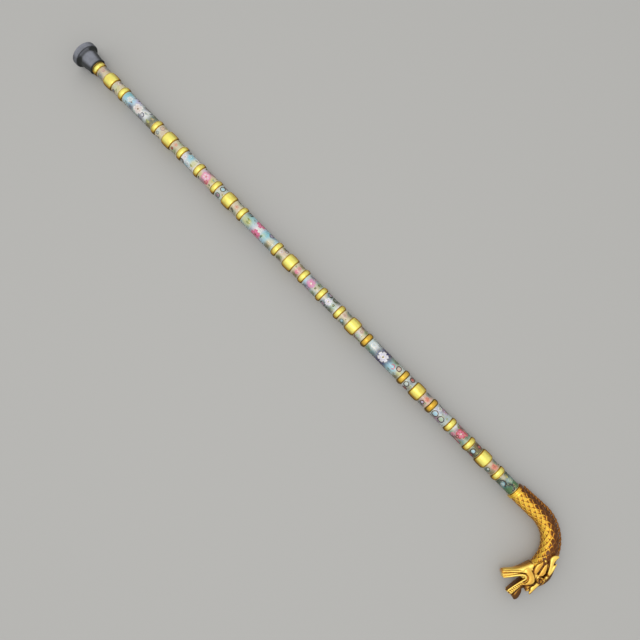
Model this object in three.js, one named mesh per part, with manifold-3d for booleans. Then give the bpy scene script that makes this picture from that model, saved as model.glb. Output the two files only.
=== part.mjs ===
// Walking cane: enamelled and gilt beads threaded on a steel rod, with a rubber foot and a cast dragon
// crook. Millimetres. The cane lies on its side on a table. X runs from the foot's face to the handle, the
// dragon's head hooks over to -Y, Z is up. "Reach" is the distance from the shaft's axis to the head side.
import * as THREE from 'three';
import { mergeVertices } from 'three/addons/utils/BufferGeometryUtils.js';
import Module from 'manifold-3d';

const wasm = await Module();
wasm.setup();

// Clearances
const clampGap = 0.1; // between end faces that are clamped together
const rodGap = 0.2; // radial, between the rod and each bore it passes through
const socketGap = 0.2; // radial, between the tip sleeve and the rubber socket
const washerGap = 0.25; // round the steel disc in the rubber socket

// Rod and its fasteners
const rodRadius = 3;
const rodThreadInHandle = 29;
const rodSideCount = 16;
const nutAcrossFlats = 10;
const nutThickness = 5;
const nutWasherRadius = 5.7;
const nutWasherThickness = 1.2;
const rodEndPastNut = 1.5;

// Tip sleeve, the turned brass end that the rubber foot is pushed over
const sleeveRadius = 9.4;
const sleeveWeb = 12.6;
const sleeveChamfer = 0.8;
const nutPocketGap = 0.5;
const nutBoreSideCount = 12;

// Rubber foot
const footPadThickness = 8;
const footFlangeRadius = 18;
const footFlangeLength = 8;
const footEdgeRounding = 1;
const footWaistRadius = 13.8;
const footWaistLength = 2.7;
const footWall = 1.7;
const footLipLength = 2.4;
const footLipHeight = 0.5;
const footLipSpan = [0.7, 0.2]; // where the lip's flat lies, as shares of its length from the mouth
const discThickness = 1.5;
const treadDepth = 1.2;
const treadWidth = 1.6;
const treadRadii = [7, 12.5];
const footSideCount = 20;

// Beads
const beadSideCount = 14;
const beadRadius = 8.7;
const beadEndRadius = 8.1;
const beadEndTaper = 1.4;
const smallBeadLength = 13.7;
const mediumBeadLength = 25.4;
const collarBeadLength = 25;
const collarBeadRadius = 9;
const ringLength = 7.6;
const ringRadius = 10.1;
const ringEdgeRadius = 8.9;
const ringEdgeTaper = 1.9;
const drumLength = 15.4;
const drumRadius = 10.3;
const drumEndRadius = 9.1;
const drumEndTaper = 2.6;
const drumCrown = 0.25;

// Dragon crook
const rimLength = 4.4;
const rimRadius = 11.4;
const rimRounding = 0.6;
const neckRadius = 10.3;
const neckStraight = 42;
const neckLean = 1.3;
const crookRadius = 42;
const neckHeadRadius = 11.6;
const neckSideCount = 20;
const scaleRowCount = 22;
const scaleRelief = 0.75;
const scaleHeights = [1, 0.6, 0.3, 0]; // shares of the relief, from a scale's free edge back to its root
const crestCount = 18;
const crestHeight = 3.4;
const crestThickness = 1.7;
const crestSpan = [0.07, 0.92]; // shares of the neck
const crestRootDepth = 0.8; // share of the neck's radius at which a flame starts
const crestSweep = 1 / 3; // how far a flame leans back, as a share of its height
const crestTipThickness = 0.3;
const headLength = 54; // from the neck's end to the snout
const plateDepth = 5;
const hornTipDepth = 1.4;
const eyeRadius = 2.3;
const toothCount = 6;
const toothLength = 3.6;
const toothRadius = 1.2;
const toothGrowth = [0.75, 1.2]; // shares of the length, at the back and at the front
const ballSideCount = 8;
const ballRowCount = 5;

const longBeadLength = 2 * mediumBeadLength + ringLength;
const boreRadius = rodRadius + rodGap;
const socketRadius = sleeveRadius + socketGap;
const socketFloor = footPadThickness;
const sleeveStart = socketFloor + discThickness + 2 * clampGap;
const pocketDepth = nutThickness + nutWasherThickness + rodEndPastNut + 3 * clampGap;
const sleeveEnd = sleeveStart + pocketDepth + sleeveWeb;
const rodStart = sleeveStart + clampGap;

const gilt = { color: 0xf2c21c, roughness: 0.28, metalness: 1 };
const giltHandle = { color: 0xe6a72a, roughness: 0.26, metalness: 1 };
const steel = { color: 0x9a9c9e, roughness: 0.4, metalness: 1 };
const brass = { color: 0xb8923c, roughness: 0.35, metalness: 1 };
const rubber = { color: 0x1c1d1f, roughness: 0.75, metalness: 0 };
const enamelPale = { color: 0xb9b2a8, roughness: 0.25, metalness: 0 };
const enamelBlue = { color: 0x7fb6bd, roughness: 0.25, metalness: 0 };
const enamelMixed = { color: 0x9fb7bf, roughness: 0.25, metalness: 0 };
const enamelGreen = { color: 0x3f7d63, roughness: 0.25, metalness: 0 };

const cane = new THREE.Group();

function addPiece(name, geometry, finish, x = 0) {
  const mesh = new THREE.Mesh(geometry, new THREE.MeshStandardMaterial({ ...finish, flatShading: true }));
  mesh.name = name;
  mesh.position.x = x;
  cane.add(mesh);
  return mesh;
}

// Shared vertices only, with the collapsed triangles of a profile's axis points left out.
function weld(geometry) {
  const bare = new THREE.BufferGeometry();
  bare.setAttribute('position', geometry.getAttribute('position'));
  if (geometry.index) bare.setIndex(geometry.index);
  const merged = mergeVertices(bare, 1e-4);
  const corners = merged.index.array;
  const kept = [];
  for (let i = 0; i < corners.length; i += 3) {
    const [a, b, c] = [corners[i], corners[i + 1], corners[i + 2]];
    if (a !== b && b !== c && c !== a) kept.push(a, b, c);
  }
  merged.setIndex(kept);
  return merged;
}

function toSolid(geometry) {
  const closed = weld(geometry);
  return new wasm.Manifold(new wasm.Mesh({
    numProp: 3,
    vertProperties: new Float32Array(closed.getAttribute('position').array),
    triVerts: new Uint32Array(closed.index.array),
  }));
}

function toGeometry(solid) {
  const mesh = solid.getMesh();
  const geometry = new THREE.BufferGeometry();
  geometry.setAttribute('position', new THREE.BufferAttribute(mesh.vertProperties, 3));
  geometry.setIndex(new THREE.BufferAttribute(mesh.triVerts, 1));
  return geometry;
}

// A body turned about the X axis from [x, radius] points.
function turned(profile, sideCount) {
  const points = profile.map(([x, radius]) => new THREE.Vector2(radius, x));
  const lathe = new THREE.LatheGeometry(points, sideCount);
  lathe.rotateZ(-Math.PI / 2);
  return weld(lathe);
}

// A bored bead: the bore, a tapered end, the barrel with its crown, and the other end.
function beadProfile(length, radius, endRadius, taper, crown = 0) {
  const solidLength = length - clampGap;
  const barrel = crown > 0 ? [[solidLength / 2, radius + crown]] : [];
  return [
    [0, boreRadius],
    [0, endRadius],
    [taper, radius],
    ...barrel,
    [solidLength - taper, radius],
    [solidLength, endRadius],
    [solidLength, boreRadius],
    [0, boreRadius],
  ];
}

// Rubber foot: tread rings in the flat face, a broad flange, a waist and a thin tube with a rolled lip.
function footProfile() {
  const treads = treadRadii.flatMap((radius) => [
    [0, radius - treadWidth / 2],
    [treadDepth, radius - treadWidth / 2],
    [treadDepth, radius + treadWidth / 2],
    [0, radius + treadWidth / 2],
  ]);
  const mouthX = sleeveEnd - clampGap;
  const tubeRadius = socketRadius + footWall;
  return [
    [0, 0],
    ...treads,
    [0, footFlangeRadius - footEdgeRounding],
    [footEdgeRounding, footFlangeRadius],
    [footFlangeLength, footFlangeRadius],
    [footFlangeLength + footEdgeRounding, footFlangeRadius - footEdgeRounding],
    [footFlangeLength + footWaistLength / 2, (footFlangeRadius + footWaistRadius) / 2 - footEdgeRounding],
    [footFlangeLength + footWaistLength, footWaistRadius],
    [mouthX - footLipLength, tubeRadius],
    ...footLipSpan.map((share) => [mouthX - footLipLength * share, tubeRadius + footLipHeight]),
    [mouthX, tubeRadius],
    [mouthX, socketRadius],
    [socketFloor, socketRadius],
    [socketFloor, 0],
  ];
}

function addFoot() {
  addPiece('ferrule', turned(footProfile(), footSideCount), rubber);
  const discRadius = socketRadius - washerGap;
  addPiece('ferrule_washer', turned([
    [0, 0], [0, discRadius], [discThickness, discRadius], [discThickness, 0],
  ], footSideCount), steel, socketFloor + clampGap);
}

// Sleeve with the rod's bore, and a pocket in its lower end that hides the washer and nut.
function addTip() {
  const pocketRadius = nutAcrossFlats / Math.sqrt(3) + nutPocketGap;
  const length = sleeveEnd - sleeveStart;
  addPiece('tip_sleeve', turned([
    [0, pocketRadius],
    [0, sleeveRadius - sleeveChamfer],
    [sleeveChamfer, sleeveRadius],
    [length - clampGap, sleeveRadius],
    [length - clampGap, boreRadius],
    [pocketDepth, boreRadius],
    [pocketDepth, pocketRadius],
    [0, pocketRadius],
  ], footSideCount), brass, sleeveStart);

  const washerX = sleeveStart + pocketDepth - nutWasherThickness - clampGap;
  addPiece('end_washer', turned([
    [0, boreRadius], [0, nutWasherRadius], [nutWasherThickness, nutWasherRadius],
    [nutWasherThickness, boreRadius], [0, boreRadius],
  ], footSideCount), steel, washerX);

  const outline = new THREE.Shape();
  for (let corner = 0; corner < 6; corner++) {
    const angle = (corner * Math.PI) / 3;
    const radius = nutAcrossFlats / Math.sqrt(3);
    const point = [radius * Math.cos(angle), radius * Math.sin(angle)];
    if (corner === 0) outline.moveTo(...point);
    else outline.lineTo(...point);
  }
  outline.holes.push(new THREE.Path().absarc(0, 0, boreRadius, 0, 2 * Math.PI, true));
  const nut = new THREE.ExtrudeGeometry(outline, {
    depth: nutThickness, bevelEnabled: false, curveSegments: nutBoreSideCount,
  });
  nut.rotateY(Math.PI / 2);
  addPiece('end_nut', weld(nut), steel, washerX - nutThickness - clampGap);
}

// Each section of the shaft is a gilt drum between two small beads and a ring; what follows it alternates.
function addBeads() {
  const enamelled = (length, finish, radius = beadRadius) => (
    [length, finish, beadProfile(length, radius, beadEndRadius, beadEndTaper)]);
  const kinds = {
    ring_spacer: [
      ringLength, gilt,
      beadProfile(ringLength, ringRadius, ringEdgeRadius, ringEdgeTaper),
    ],
    gilt_drum: [
      drumLength, gilt,
      beadProfile(drumLength, drumRadius, drumEndRadius, drumEndTaper, drumCrown),
    ],
    small_bead: enamelled(smallBeadLength, enamelPale),
    medium_bead: enamelled(mediumBeadLength, enamelMixed),
    long_bead: enamelled(longBeadLength, enamelBlue),
    collar_bead: enamelled(collarBeadLength, enamelGreen, collarBeadRadius),
  };
  const section = ['small_bead', 'gilt_drum', 'small_bead', 'ring_spacer'];
  const longFiller = ['long_bead', 'ring_spacer'];
  const pairFiller = ['medium_bead', 'ring_spacer', 'medium_bead', 'ring_spacer'];
  const order = ['ring_spacer'];
  const fillers = [longFiller, pairFiller, longFiller, pairFiller, longFiller, pairFiller, ['collar_bead']];
  for (const filler of fillers) order.push(...section, ...filler);
  const counts = {};
  let x = sleeveEnd;
  for (const kind of order) {
    const [length, finish, profile] = kinds[kind];
    counts[kind] = (counts[kind] ?? 0) + 1;
    const name = kind === 'collar_bead' ? kind : `${kind}_${String(counts[kind]).padStart(2, '0')}`;
    addPiece(name, turned(profile, beadSideCount), finish, x);
    x += length;
  }
  return x;
}

function addRod(handleX) {
  const rodEnd = handleX + rodThreadInHandle;
  addPiece('core_rod', turned([
    [0, 0], [0, rodRadius], [rodEnd - rodStart, rodRadius], [rodEnd - rodStart, 0],
  ], rodSideCount), steel, rodStart);
}

function roundedPower(value, squareness) {
  return Math.sign(value) * Math.abs(value) ** (2 / squareness);
}

// Closes a row of rings into a solid, with a fan over each end.
function loft(rings) {
  const sides = rings[0].length;
  const steps = rings.length - 1;
  const middle = (ring) => (
    ring.reduce((sum, point) => sum.add(point), new THREE.Vector3()).divideScalar(sides));
  const points = [...rings.flat(), middle(rings[0]), middle(rings[steps])];
  const [firstCentre, lastCentre] = [points.length - 2, points.length - 1];
  const faces = [];
  for (let k = 0; k < sides; k++) {
    const next = (k + 1) % sides;
    faces.push(firstCentre, next, k, lastCentre, steps * sides + k, steps * sides + next);
    for (let step = 0; step < steps; step++) {
      const [low, high] = [step * sides, (step + 1) * sides];
      faces.push(low + k, low + next, high + next, low + k, high + next, high + k);
    }
  }
  let volume = 0;
  for (let i = 0; i < faces.length; i += 3) {
    const [a, b, c] = faces.slice(i, i + 3).map((corner) => points[corner]);
    volume += a.dot(new THREE.Vector3().crossVectors(b, c));
  }
  if (volume < 0) faces.reverse();
  const geometry = new THREE.BufferGeometry().setFromPoints(points);
  geometry.setIndex(faces);
  return toSolid(geometry);
}

// A tapering body over oval rings. Each key is [x, reach, z, half height, half width].
// side -1 gives the twin under the middle plane. The relief adds a height to a ring's point.
function limb(keys, { steps = 6, sides = 8, squareness = 2, side = 1, relief = () => 0 } = {}) {
  const centres = keys.map(([x, reach, z]) => new THREE.Vector3(x, -reach, z * side));
  const path = new THREE.CatmullRomCurve3(centres);
  const girth = new THREE.CatmullRomCurve3(keys.map((key) => new THREE.Vector3(key[3], key[4], 0)));
  const up = new THREE.Vector3(0, 0, 1);
  const rings = [];
  for (let step = 0; step <= steps; step++) {
    const centre = path.getPoint(step / steps);
    const tangent = path.getTangent(step / steps);
    const outward = new THREE.Vector3().crossVectors(up, tangent).normalize();
    const across = new THREE.Vector3().crossVectors(tangent, outward);
    const { x: halfHeight, y: halfWidth } = girth.getPoint(step / steps);
    rings.push(Array.from({ length: sides }, (_, k) => {
      const angle = (2 * Math.PI * k) / sides;
      const rise = relief(step, k);
      return centre.clone()
        .addScaledVector(outward, (halfHeight + rise) * roundedPower(Math.cos(angle), squareness))
        .addScaledVector(across, (halfWidth + rise) * roundedPower(Math.sin(angle), squareness));
    }));
  }
  return loft(rings);
}

// A raised plate of the casting. Each key is a rib across it: x and reach of one edge, x and reach of the
// other, the height of both edges over the middle plane, and the rise of the crown between them.
function plate(keys, { side = 1, endDepth = plateDepth } = {}) {
  return loft(keys.map(([xa, reachA, xb, reachB, edge, crown], i) => {
    const root = edge - THREE.MathUtils.lerp(plateDepth, endDepth, i / (keys.length - 1));
    return [
      [xa, reachA, root],
      [xa, reachA, edge],
      [(xa + xb) / 2, (reachA + reachB) / 2, edge + crown],
      [xb, reachB, edge],
      [xb, reachB, root],
    ].map(([x, reach, z]) => new THREE.Vector3(x, -reach, z * side));
  }));
}

// The middle line of the neck: a straight that leans back a little, then a quarter turn to the head.
function neckKeys(baseX) {
  const bendX = baseX + neckStraight;
  const bendReach = crookRadius - neckLean;
  const arc = [30, 60, 90].map((degrees) => {
    const angle = THREE.MathUtils.degToRad(degrees);
    return [bendX + crookRadius * Math.sin(angle), bendReach - crookRadius * Math.cos(angle)];
  });
  const line = [
    [baseX + rimLength / 2, 0],
    [baseX + neckStraight / 2, -neckLean / 2],
    [bendX, -neckLean],
    ...arc,
  ];
  return line.map(([x, reach], i) => {
    const radius = THREE.MathUtils.lerp(neckRadius, neckHeadRadius, i / (line.length - 1));
    return [x, reach, 0, radius, radius];
  });
}

// The neck, whose pointed scales stand in staggered rows, and the crest down its back.
function neckParts(keys) {
  const steps = 2 * scaleRowCount;
  const relief = (step, k) => {
    const place = (step + 2 * (k % 2)) % scaleHeights.length;
    return step > 0 && step < steps ? scaleRelief * scaleHeights[place] : 0;
  };
  const parts = [limb(keys, { steps, sides: neckSideCount, relief })];
  const path = new THREE.CatmullRomCurve3(keys.map(([x, reach]) => new THREE.Vector3(x, -reach, 0)));
  for (let i = 0; i < crestCount; i++) {
    const t = THREE.MathUtils.lerp(...crestSpan, i / (crestCount - 1));
    const centre = path.getPoint(t);
    const tangent = path.getTangent(t);
    const outward = new THREE.Vector3(0, 0, 1).cross(tangent).normalize();
    const radius = THREE.MathUtils.lerp(neckRadius, neckHeadRadius, t);
    const sweep = crestHeight * crestSweep;
    const root = centre.clone()
      .addScaledVector(outward, radius * crestRootDepth)
      .addScaledVector(tangent, sweep);
    const tip = centre.clone()
      .addScaledVector(outward, radius + crestHeight)
      .addScaledVector(tangent, -sweep);
    parts.push(limb([
      [root.x, -root.y, 0, crestHeight * crestRootDepth, crestThickness],
      [tip.x, -tip.y, 0, crestTipThickness, crestTipThickness],
    ], { steps: 1, sides: 4 }));
  }
  return parts;
}

function ball(x, reach, z, radii) {
  const geometry = new THREE.SphereGeometry(1, ballSideCount, ballRowCount);
  geometry.scale(...radii);
  geometry.translate(x, -reach, z);
  return toSolid(geometry);
}

// A tooth whose root is at x and whose point is lower by its length.
function tooth(x, reach, z, length) {
  const geometry = new THREE.ConeGeometry(toothRadius, length, 4);
  geometry.rotateZ(Math.PI / 2);
  geometry.translate(x - length / 2, -reach, z);
  return toSolid(geometry);
}

// The head's keys are drawn about the neck's end, with x up through the skull and reach forward.
const drawnHeadLength = 54; // the head length that the keys are drawn for

const headCore = {
  skull: [[0, -1, 0, 11.6, 11.2], [0, 8, 0, 12.2, 10.8], [-1.6, 17, 0, 13.6, 10],
    [-1.6, 23, 0, 11.5, 9.2], [-1, 28, 0, 7, 7.8]],
  crown: [[13, -7, 0, 4, 5], [15.2, 4, 0, 5.4, 6.4], [14.8, 13, 0, 5.2, 6], [12.4, 22, 0, 4.2, 5],
    [10.6, 30, 0, 3.4, 4], [9, 36.4, 0, 1.6, 2.4]],
  upperJaw: [[-1, 22, 0, 5, 9.4], [-3.4, 35, 0, 3, 7], [-4.6, 44, 0, 3.2, 6], [-5.2, 52, 0, 3.5, 5],
    [-5.2, 54, 0, 2.8, 4.2]],
  nose: [[5.4, 18, 0, 7, 7.6], [2.4, 30, 0, 5.4, 6.2], [-0.6, 38, 0, 4.6, 5], [1.2, 44, 0, 6, 4.6],
    [2.2, 50, 0, 6.2, 4.8], [1.6, 53.6, 0, 4.8, 4]],
  lowerJaw: [[-7, 8, 0, 5.5, 10.4], [-10.4, 19, 0, 6, 9.2], [-16.6, 29.8, 0, 5, 7],
    [-22.8, 37.8, 0, 5.6, 5.8], [-26.2, 42.6, 0, 5.6, 5.4]],
};

const headPlates = {
  horn: [[8.9, 3.8, 14.1, 4.3, 9.8, 2.2], [3.9, -4.1, 11.5, -4.1, 11.6, 1.8],
    [1.5, -8, 8.9, -8, 12.2, 1.6], [0.3, -11.5, 7.2, -11.5, 12.5, 1.5],
    [0, -15, 6.7, -14.5, 12.8, 1.3], [1.3, -18.2, 6.7, -17.5, 13, 1],
    [3.3, -20.2, 6.7, -19.5, 13.2, 0.7], [5.5, -21.3, 6.5, -20.9, 13.4, 0.3]],
  prong: [[10, 3.9, 14.4, 4.4, 10, 2], [8.9, -5.1, 12.9, -5.1, 11.7, 1.6],
    [8.5, -9, 11.5, -9, 12.3, 1.1], [9.6, -13.1, 10, -13.1, 12.8, 0.2]],
  upperBrow: [[9.5, 17.3, 13.5, 17.3, 8.6, 1], [7.4, 25.3, 13.1, 25.3, 9.2, 1.3],
    [7.4, 29.3, 12.8, 29.3, 9.3, 1.1], [8.5, 33.3, 12.7, 33.3, 9.3, 0.7],
    [11.4, 36.9, 12.4, 36.9, 9.3, 0.2]],
  lowerBrow: [[5.3, 25.2, 8.1, 25.2, 7.6, 0.9], [2.9, 29.2, 7.6, 29.2, 7.8, 1.1],
    [1.6, 32.7, 7.2, 32.7, 7.9, 1], [5.6, 37, 6.8, 37, 7.8, 0.2]],
};

const maneAndCheek = {
  upperLeaf: [[1.8, -4.6, 2.4, -4.6, 12, 0.3], [1, -2.1, 4.2, -2.1, 11.9, 0.7],
    [0.5, 1.4, 6.6, 1.4, 11.6, 0.9], [1.6, 5.4, 8.4, 5.4, 11.2, 1], [2.5, 9.4, 8.3, 9.4, 10.8, 1],
    [4.4, 16.3, 5.2, 16.3, 9.6, 0.4]],
  lowerLeaf: [[-3.2, -3.4, -2.2, -3, 12, 0.3], [-5.7, 2.4, -0.2, 2.4, 11.6, 0.9],
    [-5.9, 6.4, 0.6, 6.4, 11.2, 1], [-4.8, 10.4, 1.5, 10.4, 10.7, 1], [-0.6, 15.3, 1, 15.3, 9.8, 0.3]],
  cheek: [[-12, 20.8, -10, 13.8, 9.4, 0.6], [-8.1, 21.9, -5.6, 14.3, 9.6, 1],
    [-4.2, 22.6, -0.7, 15.1, 9.6, 1.2], [-1.5, 23.9, 4.3, 17.9, 9.5, 1.3],
    [0.2, 26.3, 6.9, 22.3, 9.2, 1.3], [0.6, 29.3, 6.3, 27.3, 8.6, 1.2],
    [-0.2, 32.2, 2.7, 31.6, 7.6, 0.9], [-1.5, 35.9, -0.7, 36, 6.6, 0.3]],
};

const headRidges = {
  lip: [[-22.8, 45.2, 5.2, 1, 1], [-14.5, 33.1, 7, 1.3, 1.3], [-8.2, 25.4, 8.6, 1.5, 1.5],
    [-5.6, 24.5, 8.9, 1.5, 1.5], [-3.2, 25.6, 8.7, 1.5, 1.5], [-2.1, 28.8, 8, 1.3, 1.4],
    [-4.9, 43.1, 6, 1.1, 1.1], [-7.1, 52.2, 5, 0.9, 0.9]],
  gum: [[0.4, 31.2, 7, 0.9, 1], [-1.5, 37.1, 6.4, 0.9, 1], [-2.7, 52.4, 4.8, 0.8, 0.8]],
  jaw: [[-8.4, 20.8, 9, 1.1, 1], [-17.4, 29.2, 7.4, 1.1, 1], [-28.3, 41.5, 5, 0.8, 0.8]],
  orbit: [[17, 13.2, 6.4, 1, 1.4], [9.4, 12.3, 9.4, 1, 1.5], [6, 16.9, 9, 0.9, 1.3],
    [7.3, 19.9, 8.6, 0.8, 1]],
};

// Balls: x, reach, z and the three half sizes
const headBalls = {
  eye: [10.2, 16.6, 8.4, eyeRadius, eyeRadius, eyeRadius],
  temple: [9.5, 16, 4.5, 6, 6.5, 4.8],
  burr: [12.5, 7.8, 8.2, 2.6, 3.1, 4.4],
  nostril: [-0.2, 51, 3.6, 1.8, 2.2, 2],
  largeBead: [-1.9, -5.3, 11.4, 2, 2, 1.9],
  smallBead: [-5.8, -8.2, 11.2, 1.3, 1.3, 1.3],
};

// Roots of the first and the last upper tooth: x, reach, z
const toothRow = [[-3.2, 34, 6.6], [-6.8, 51.6, 4.8]];

function headParts(originX, originReach) {
  const unit = headLength / drawnHeadLength;
  const at = (keys) => keys.map(([x, reach, ...rest]) => (
    [x * unit + originX, reach * unit + originReach, ...rest.map((size) => size * unit)]));
  const atEdges = (keys) => keys.map(([xa, reachA, xb, reachB, ...rest]) => (
    [...at([[xa, reachA]])[0], ...at([[xb, reachB]])[0], ...rest.map((size) => size * unit)]));
  const parts = [
    limb(at(headCore.skull), { sides: 12 }),
    limb(at(headCore.crown), { sides: 8 }),
    limb(at(headCore.upperJaw), { steps: 7, sides: 10, squareness: 3 }),
    limb(at(headCore.nose), { steps: 7, sides: 8 }),
    limb(at(headCore.lowerJaw), { steps: 7, sides: 10, squareness: 2.4 }),
  ];
  for (const side of [1, -1]) {
    for (const keys of Object.values(headPlates)) {
      parts.push(plate(atEdges(keys), { side, endDepth: hornTipDepth }));
    }
    for (const keys of Object.values(maneAndCheek)) parts.push(plate(atEdges(keys), { side }));
    for (const keys of Object.values(headRidges)) {
      parts.push(limb(at(keys), { side, steps: keys.length + 1, sides: 5 }));
    }
    for (const [x, reach, z, ...radii] of at(Object.values(headBalls))) {
      parts.push(ball(x, reach, z * side, radii));
    }
    const [back, front] = at(toothRow).map((root) => new THREE.Vector3(...root));
    for (let i = 0; i < toothCount; i++) {
      const share = i / (toothCount - 1);
      const root = back.clone().lerp(front, share);
      const length = toothLength * THREE.MathUtils.lerp(...toothGrowth, share);
      parts.push(tooth(root.x, root.y, root.z * side, length));
    }
  }
  return parts;
}

function addHandle(baseX) {
  const faceX = baseX + clampGap;
  const keys = neckKeys(faceX);
  const [headX, headReach] = keys[keys.length - 1];
  const rim = toSolid(turned([
    [0, 0], [0, rimRadius - rimRounding], [rimRounding, rimRadius], [rimLength - rimRounding, rimRadius],
    [rimLength, rimRadius - rimRounding], [rimLength, 0],
  ], neckSideCount)).translate([faceX, 0, 0]);
  const bore = toSolid(turned([
    [-1, 0], [-1, boreRadius], [rodThreadInHandle + clampGap, boreRadius],
    [rodThreadInHandle + boreRadius, 0],
  ], rodSideCount)).translate([faceX, 0, 0]);
  const casting = wasm.Manifold.union([rim, ...neckParts(keys), ...headParts(headX, headReach)]);
  addPiece('dragon_handle', toGeometry(casting.subtract(bore)), giltHandle);
}

addFoot();
addTip();
const handleX = addBeads();
addRod(handleX);
addHandle(handleX);

export default cane;
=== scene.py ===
"""Looks of an enamelled walking cane on its side, with a rubber foot and a cast dragon crook."""

import logging
import math
import random
from dataclasses import dataclass, field
from enum import Enum
from functools import lru_cache
from typing import Callable, Sequence

import bpy
import numpy as np
from mathutils import Matrix, Vector


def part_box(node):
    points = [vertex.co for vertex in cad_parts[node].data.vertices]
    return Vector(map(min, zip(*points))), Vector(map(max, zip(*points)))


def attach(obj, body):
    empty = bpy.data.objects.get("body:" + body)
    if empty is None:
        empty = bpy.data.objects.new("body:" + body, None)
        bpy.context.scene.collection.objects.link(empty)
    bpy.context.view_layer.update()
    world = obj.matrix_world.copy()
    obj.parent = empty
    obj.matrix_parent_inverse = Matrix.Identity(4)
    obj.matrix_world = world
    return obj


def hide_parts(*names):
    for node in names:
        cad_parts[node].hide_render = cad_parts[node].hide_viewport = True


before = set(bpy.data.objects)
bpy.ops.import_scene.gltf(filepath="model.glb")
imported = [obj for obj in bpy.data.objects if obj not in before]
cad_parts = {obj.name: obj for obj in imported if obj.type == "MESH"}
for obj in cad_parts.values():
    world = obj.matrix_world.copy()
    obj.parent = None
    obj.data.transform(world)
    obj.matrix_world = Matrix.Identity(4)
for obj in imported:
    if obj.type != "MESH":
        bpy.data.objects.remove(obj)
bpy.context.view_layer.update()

MM = 0.001
CANE = "cane"
FOOT = "foot"
log = logging.getLogger("cane")

Colour = tuple[float, float, float]
Point = tuple[float, float, float]
Keys = tuple[tuple[float, ...], ...]
Profile = list[tuple[float, float]]
Form = tuple[np.ndarray, list[tuple[int, ...]]]


def shown(red: int, green: int, blue: int) -> Colour:
    """Linear colour of a display colour given from 0 to 255."""
    return tuple(
        c / 12.92 if c <= 0.04045 else ((c + 0.055) / 1.055) ** 2.4
        for c in (red / 255, green / 255, blue / 255)
    )


class Glaze(Enum):
    """Enamel colours of the beads, as fired."""

    CREAM = shown(216, 206, 174)
    SAND = shown(192, 172, 140)
    BLUSH = shown(210, 180, 164)
    WHITE = shown(234, 234, 236)
    PINK = shown(236, 134, 178)
    ROSE = shown(208, 86, 130)
    SALMON = shown(228, 134, 116)
    RED = shown(188, 48, 48)
    MAROON = shown(88, 26, 34)
    MAUVE = shown(164, 124, 146)
    ORCHID = shown(202, 150, 184)
    LILAC = shown(192, 186, 224)
    NAVY = shown(34, 28, 100)
    INK = shown(20, 30, 32)
    SKY = shown(166, 210, 230)
    TURQUOISE = shown(102, 190, 210)
    TEAL = shown(40, 112, 116)
    MIST = shown(192, 208, 206)
    SLATE = shown(116, 130, 144)
    MINT = shown(174, 200, 174)
    LIME = shown(198, 196, 108)
    LEAF = shown(64, 110, 50)
    FOREST = shown(32, 62, 34)
    OLIVE = shown(106, 96, 38)


class Kind(Enum):
    """What a socket carries."""

    NUMBER = "number"
    VECTOR = "vector"
    COLOUR = "colour"


@dataclass(frozen=True)
class Signal:
    """One output socket. Sums and products become Math nodes, or Vector Math nodes for vectors."""

    graph: "Graph"
    socket: bpy.types.NodeSocket
    kind: Kind = Kind.NUMBER

    def __add__(self, other: "Operand") -> "Signal":
        """This value plus another."""
        return self.graph.arithmetic("ADD", self, other)

    __radd__ = __add__

    def __sub__(self, other: "Operand") -> "Signal":
        """This value less another."""
        return self.graph.arithmetic("SUBTRACT", self, other)

    def __rsub__(self, other: "Operand") -> "Signal":
        """Another value less this one."""
        return self.graph.arithmetic("SUBTRACT", other, self)

    def __mul__(self, other: "Operand") -> "Signal":
        """This value times another."""
        return self.graph.arithmetic("MULTIPLY", self, other)

    __rmul__ = __mul__

    def ramp(self, low: float, high: float) -> "Signal":
        """A soft step: 0 below low, 1 above high."""
        return self.graph.signal(
            "ShaderNodeMapRange",
            {"interpolation_type": "SMOOTHSTEP", "clamp": True},
            {"Value": self, "From Min": low, "From Max": high},
        )


Operand = Signal | float | Point


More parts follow.
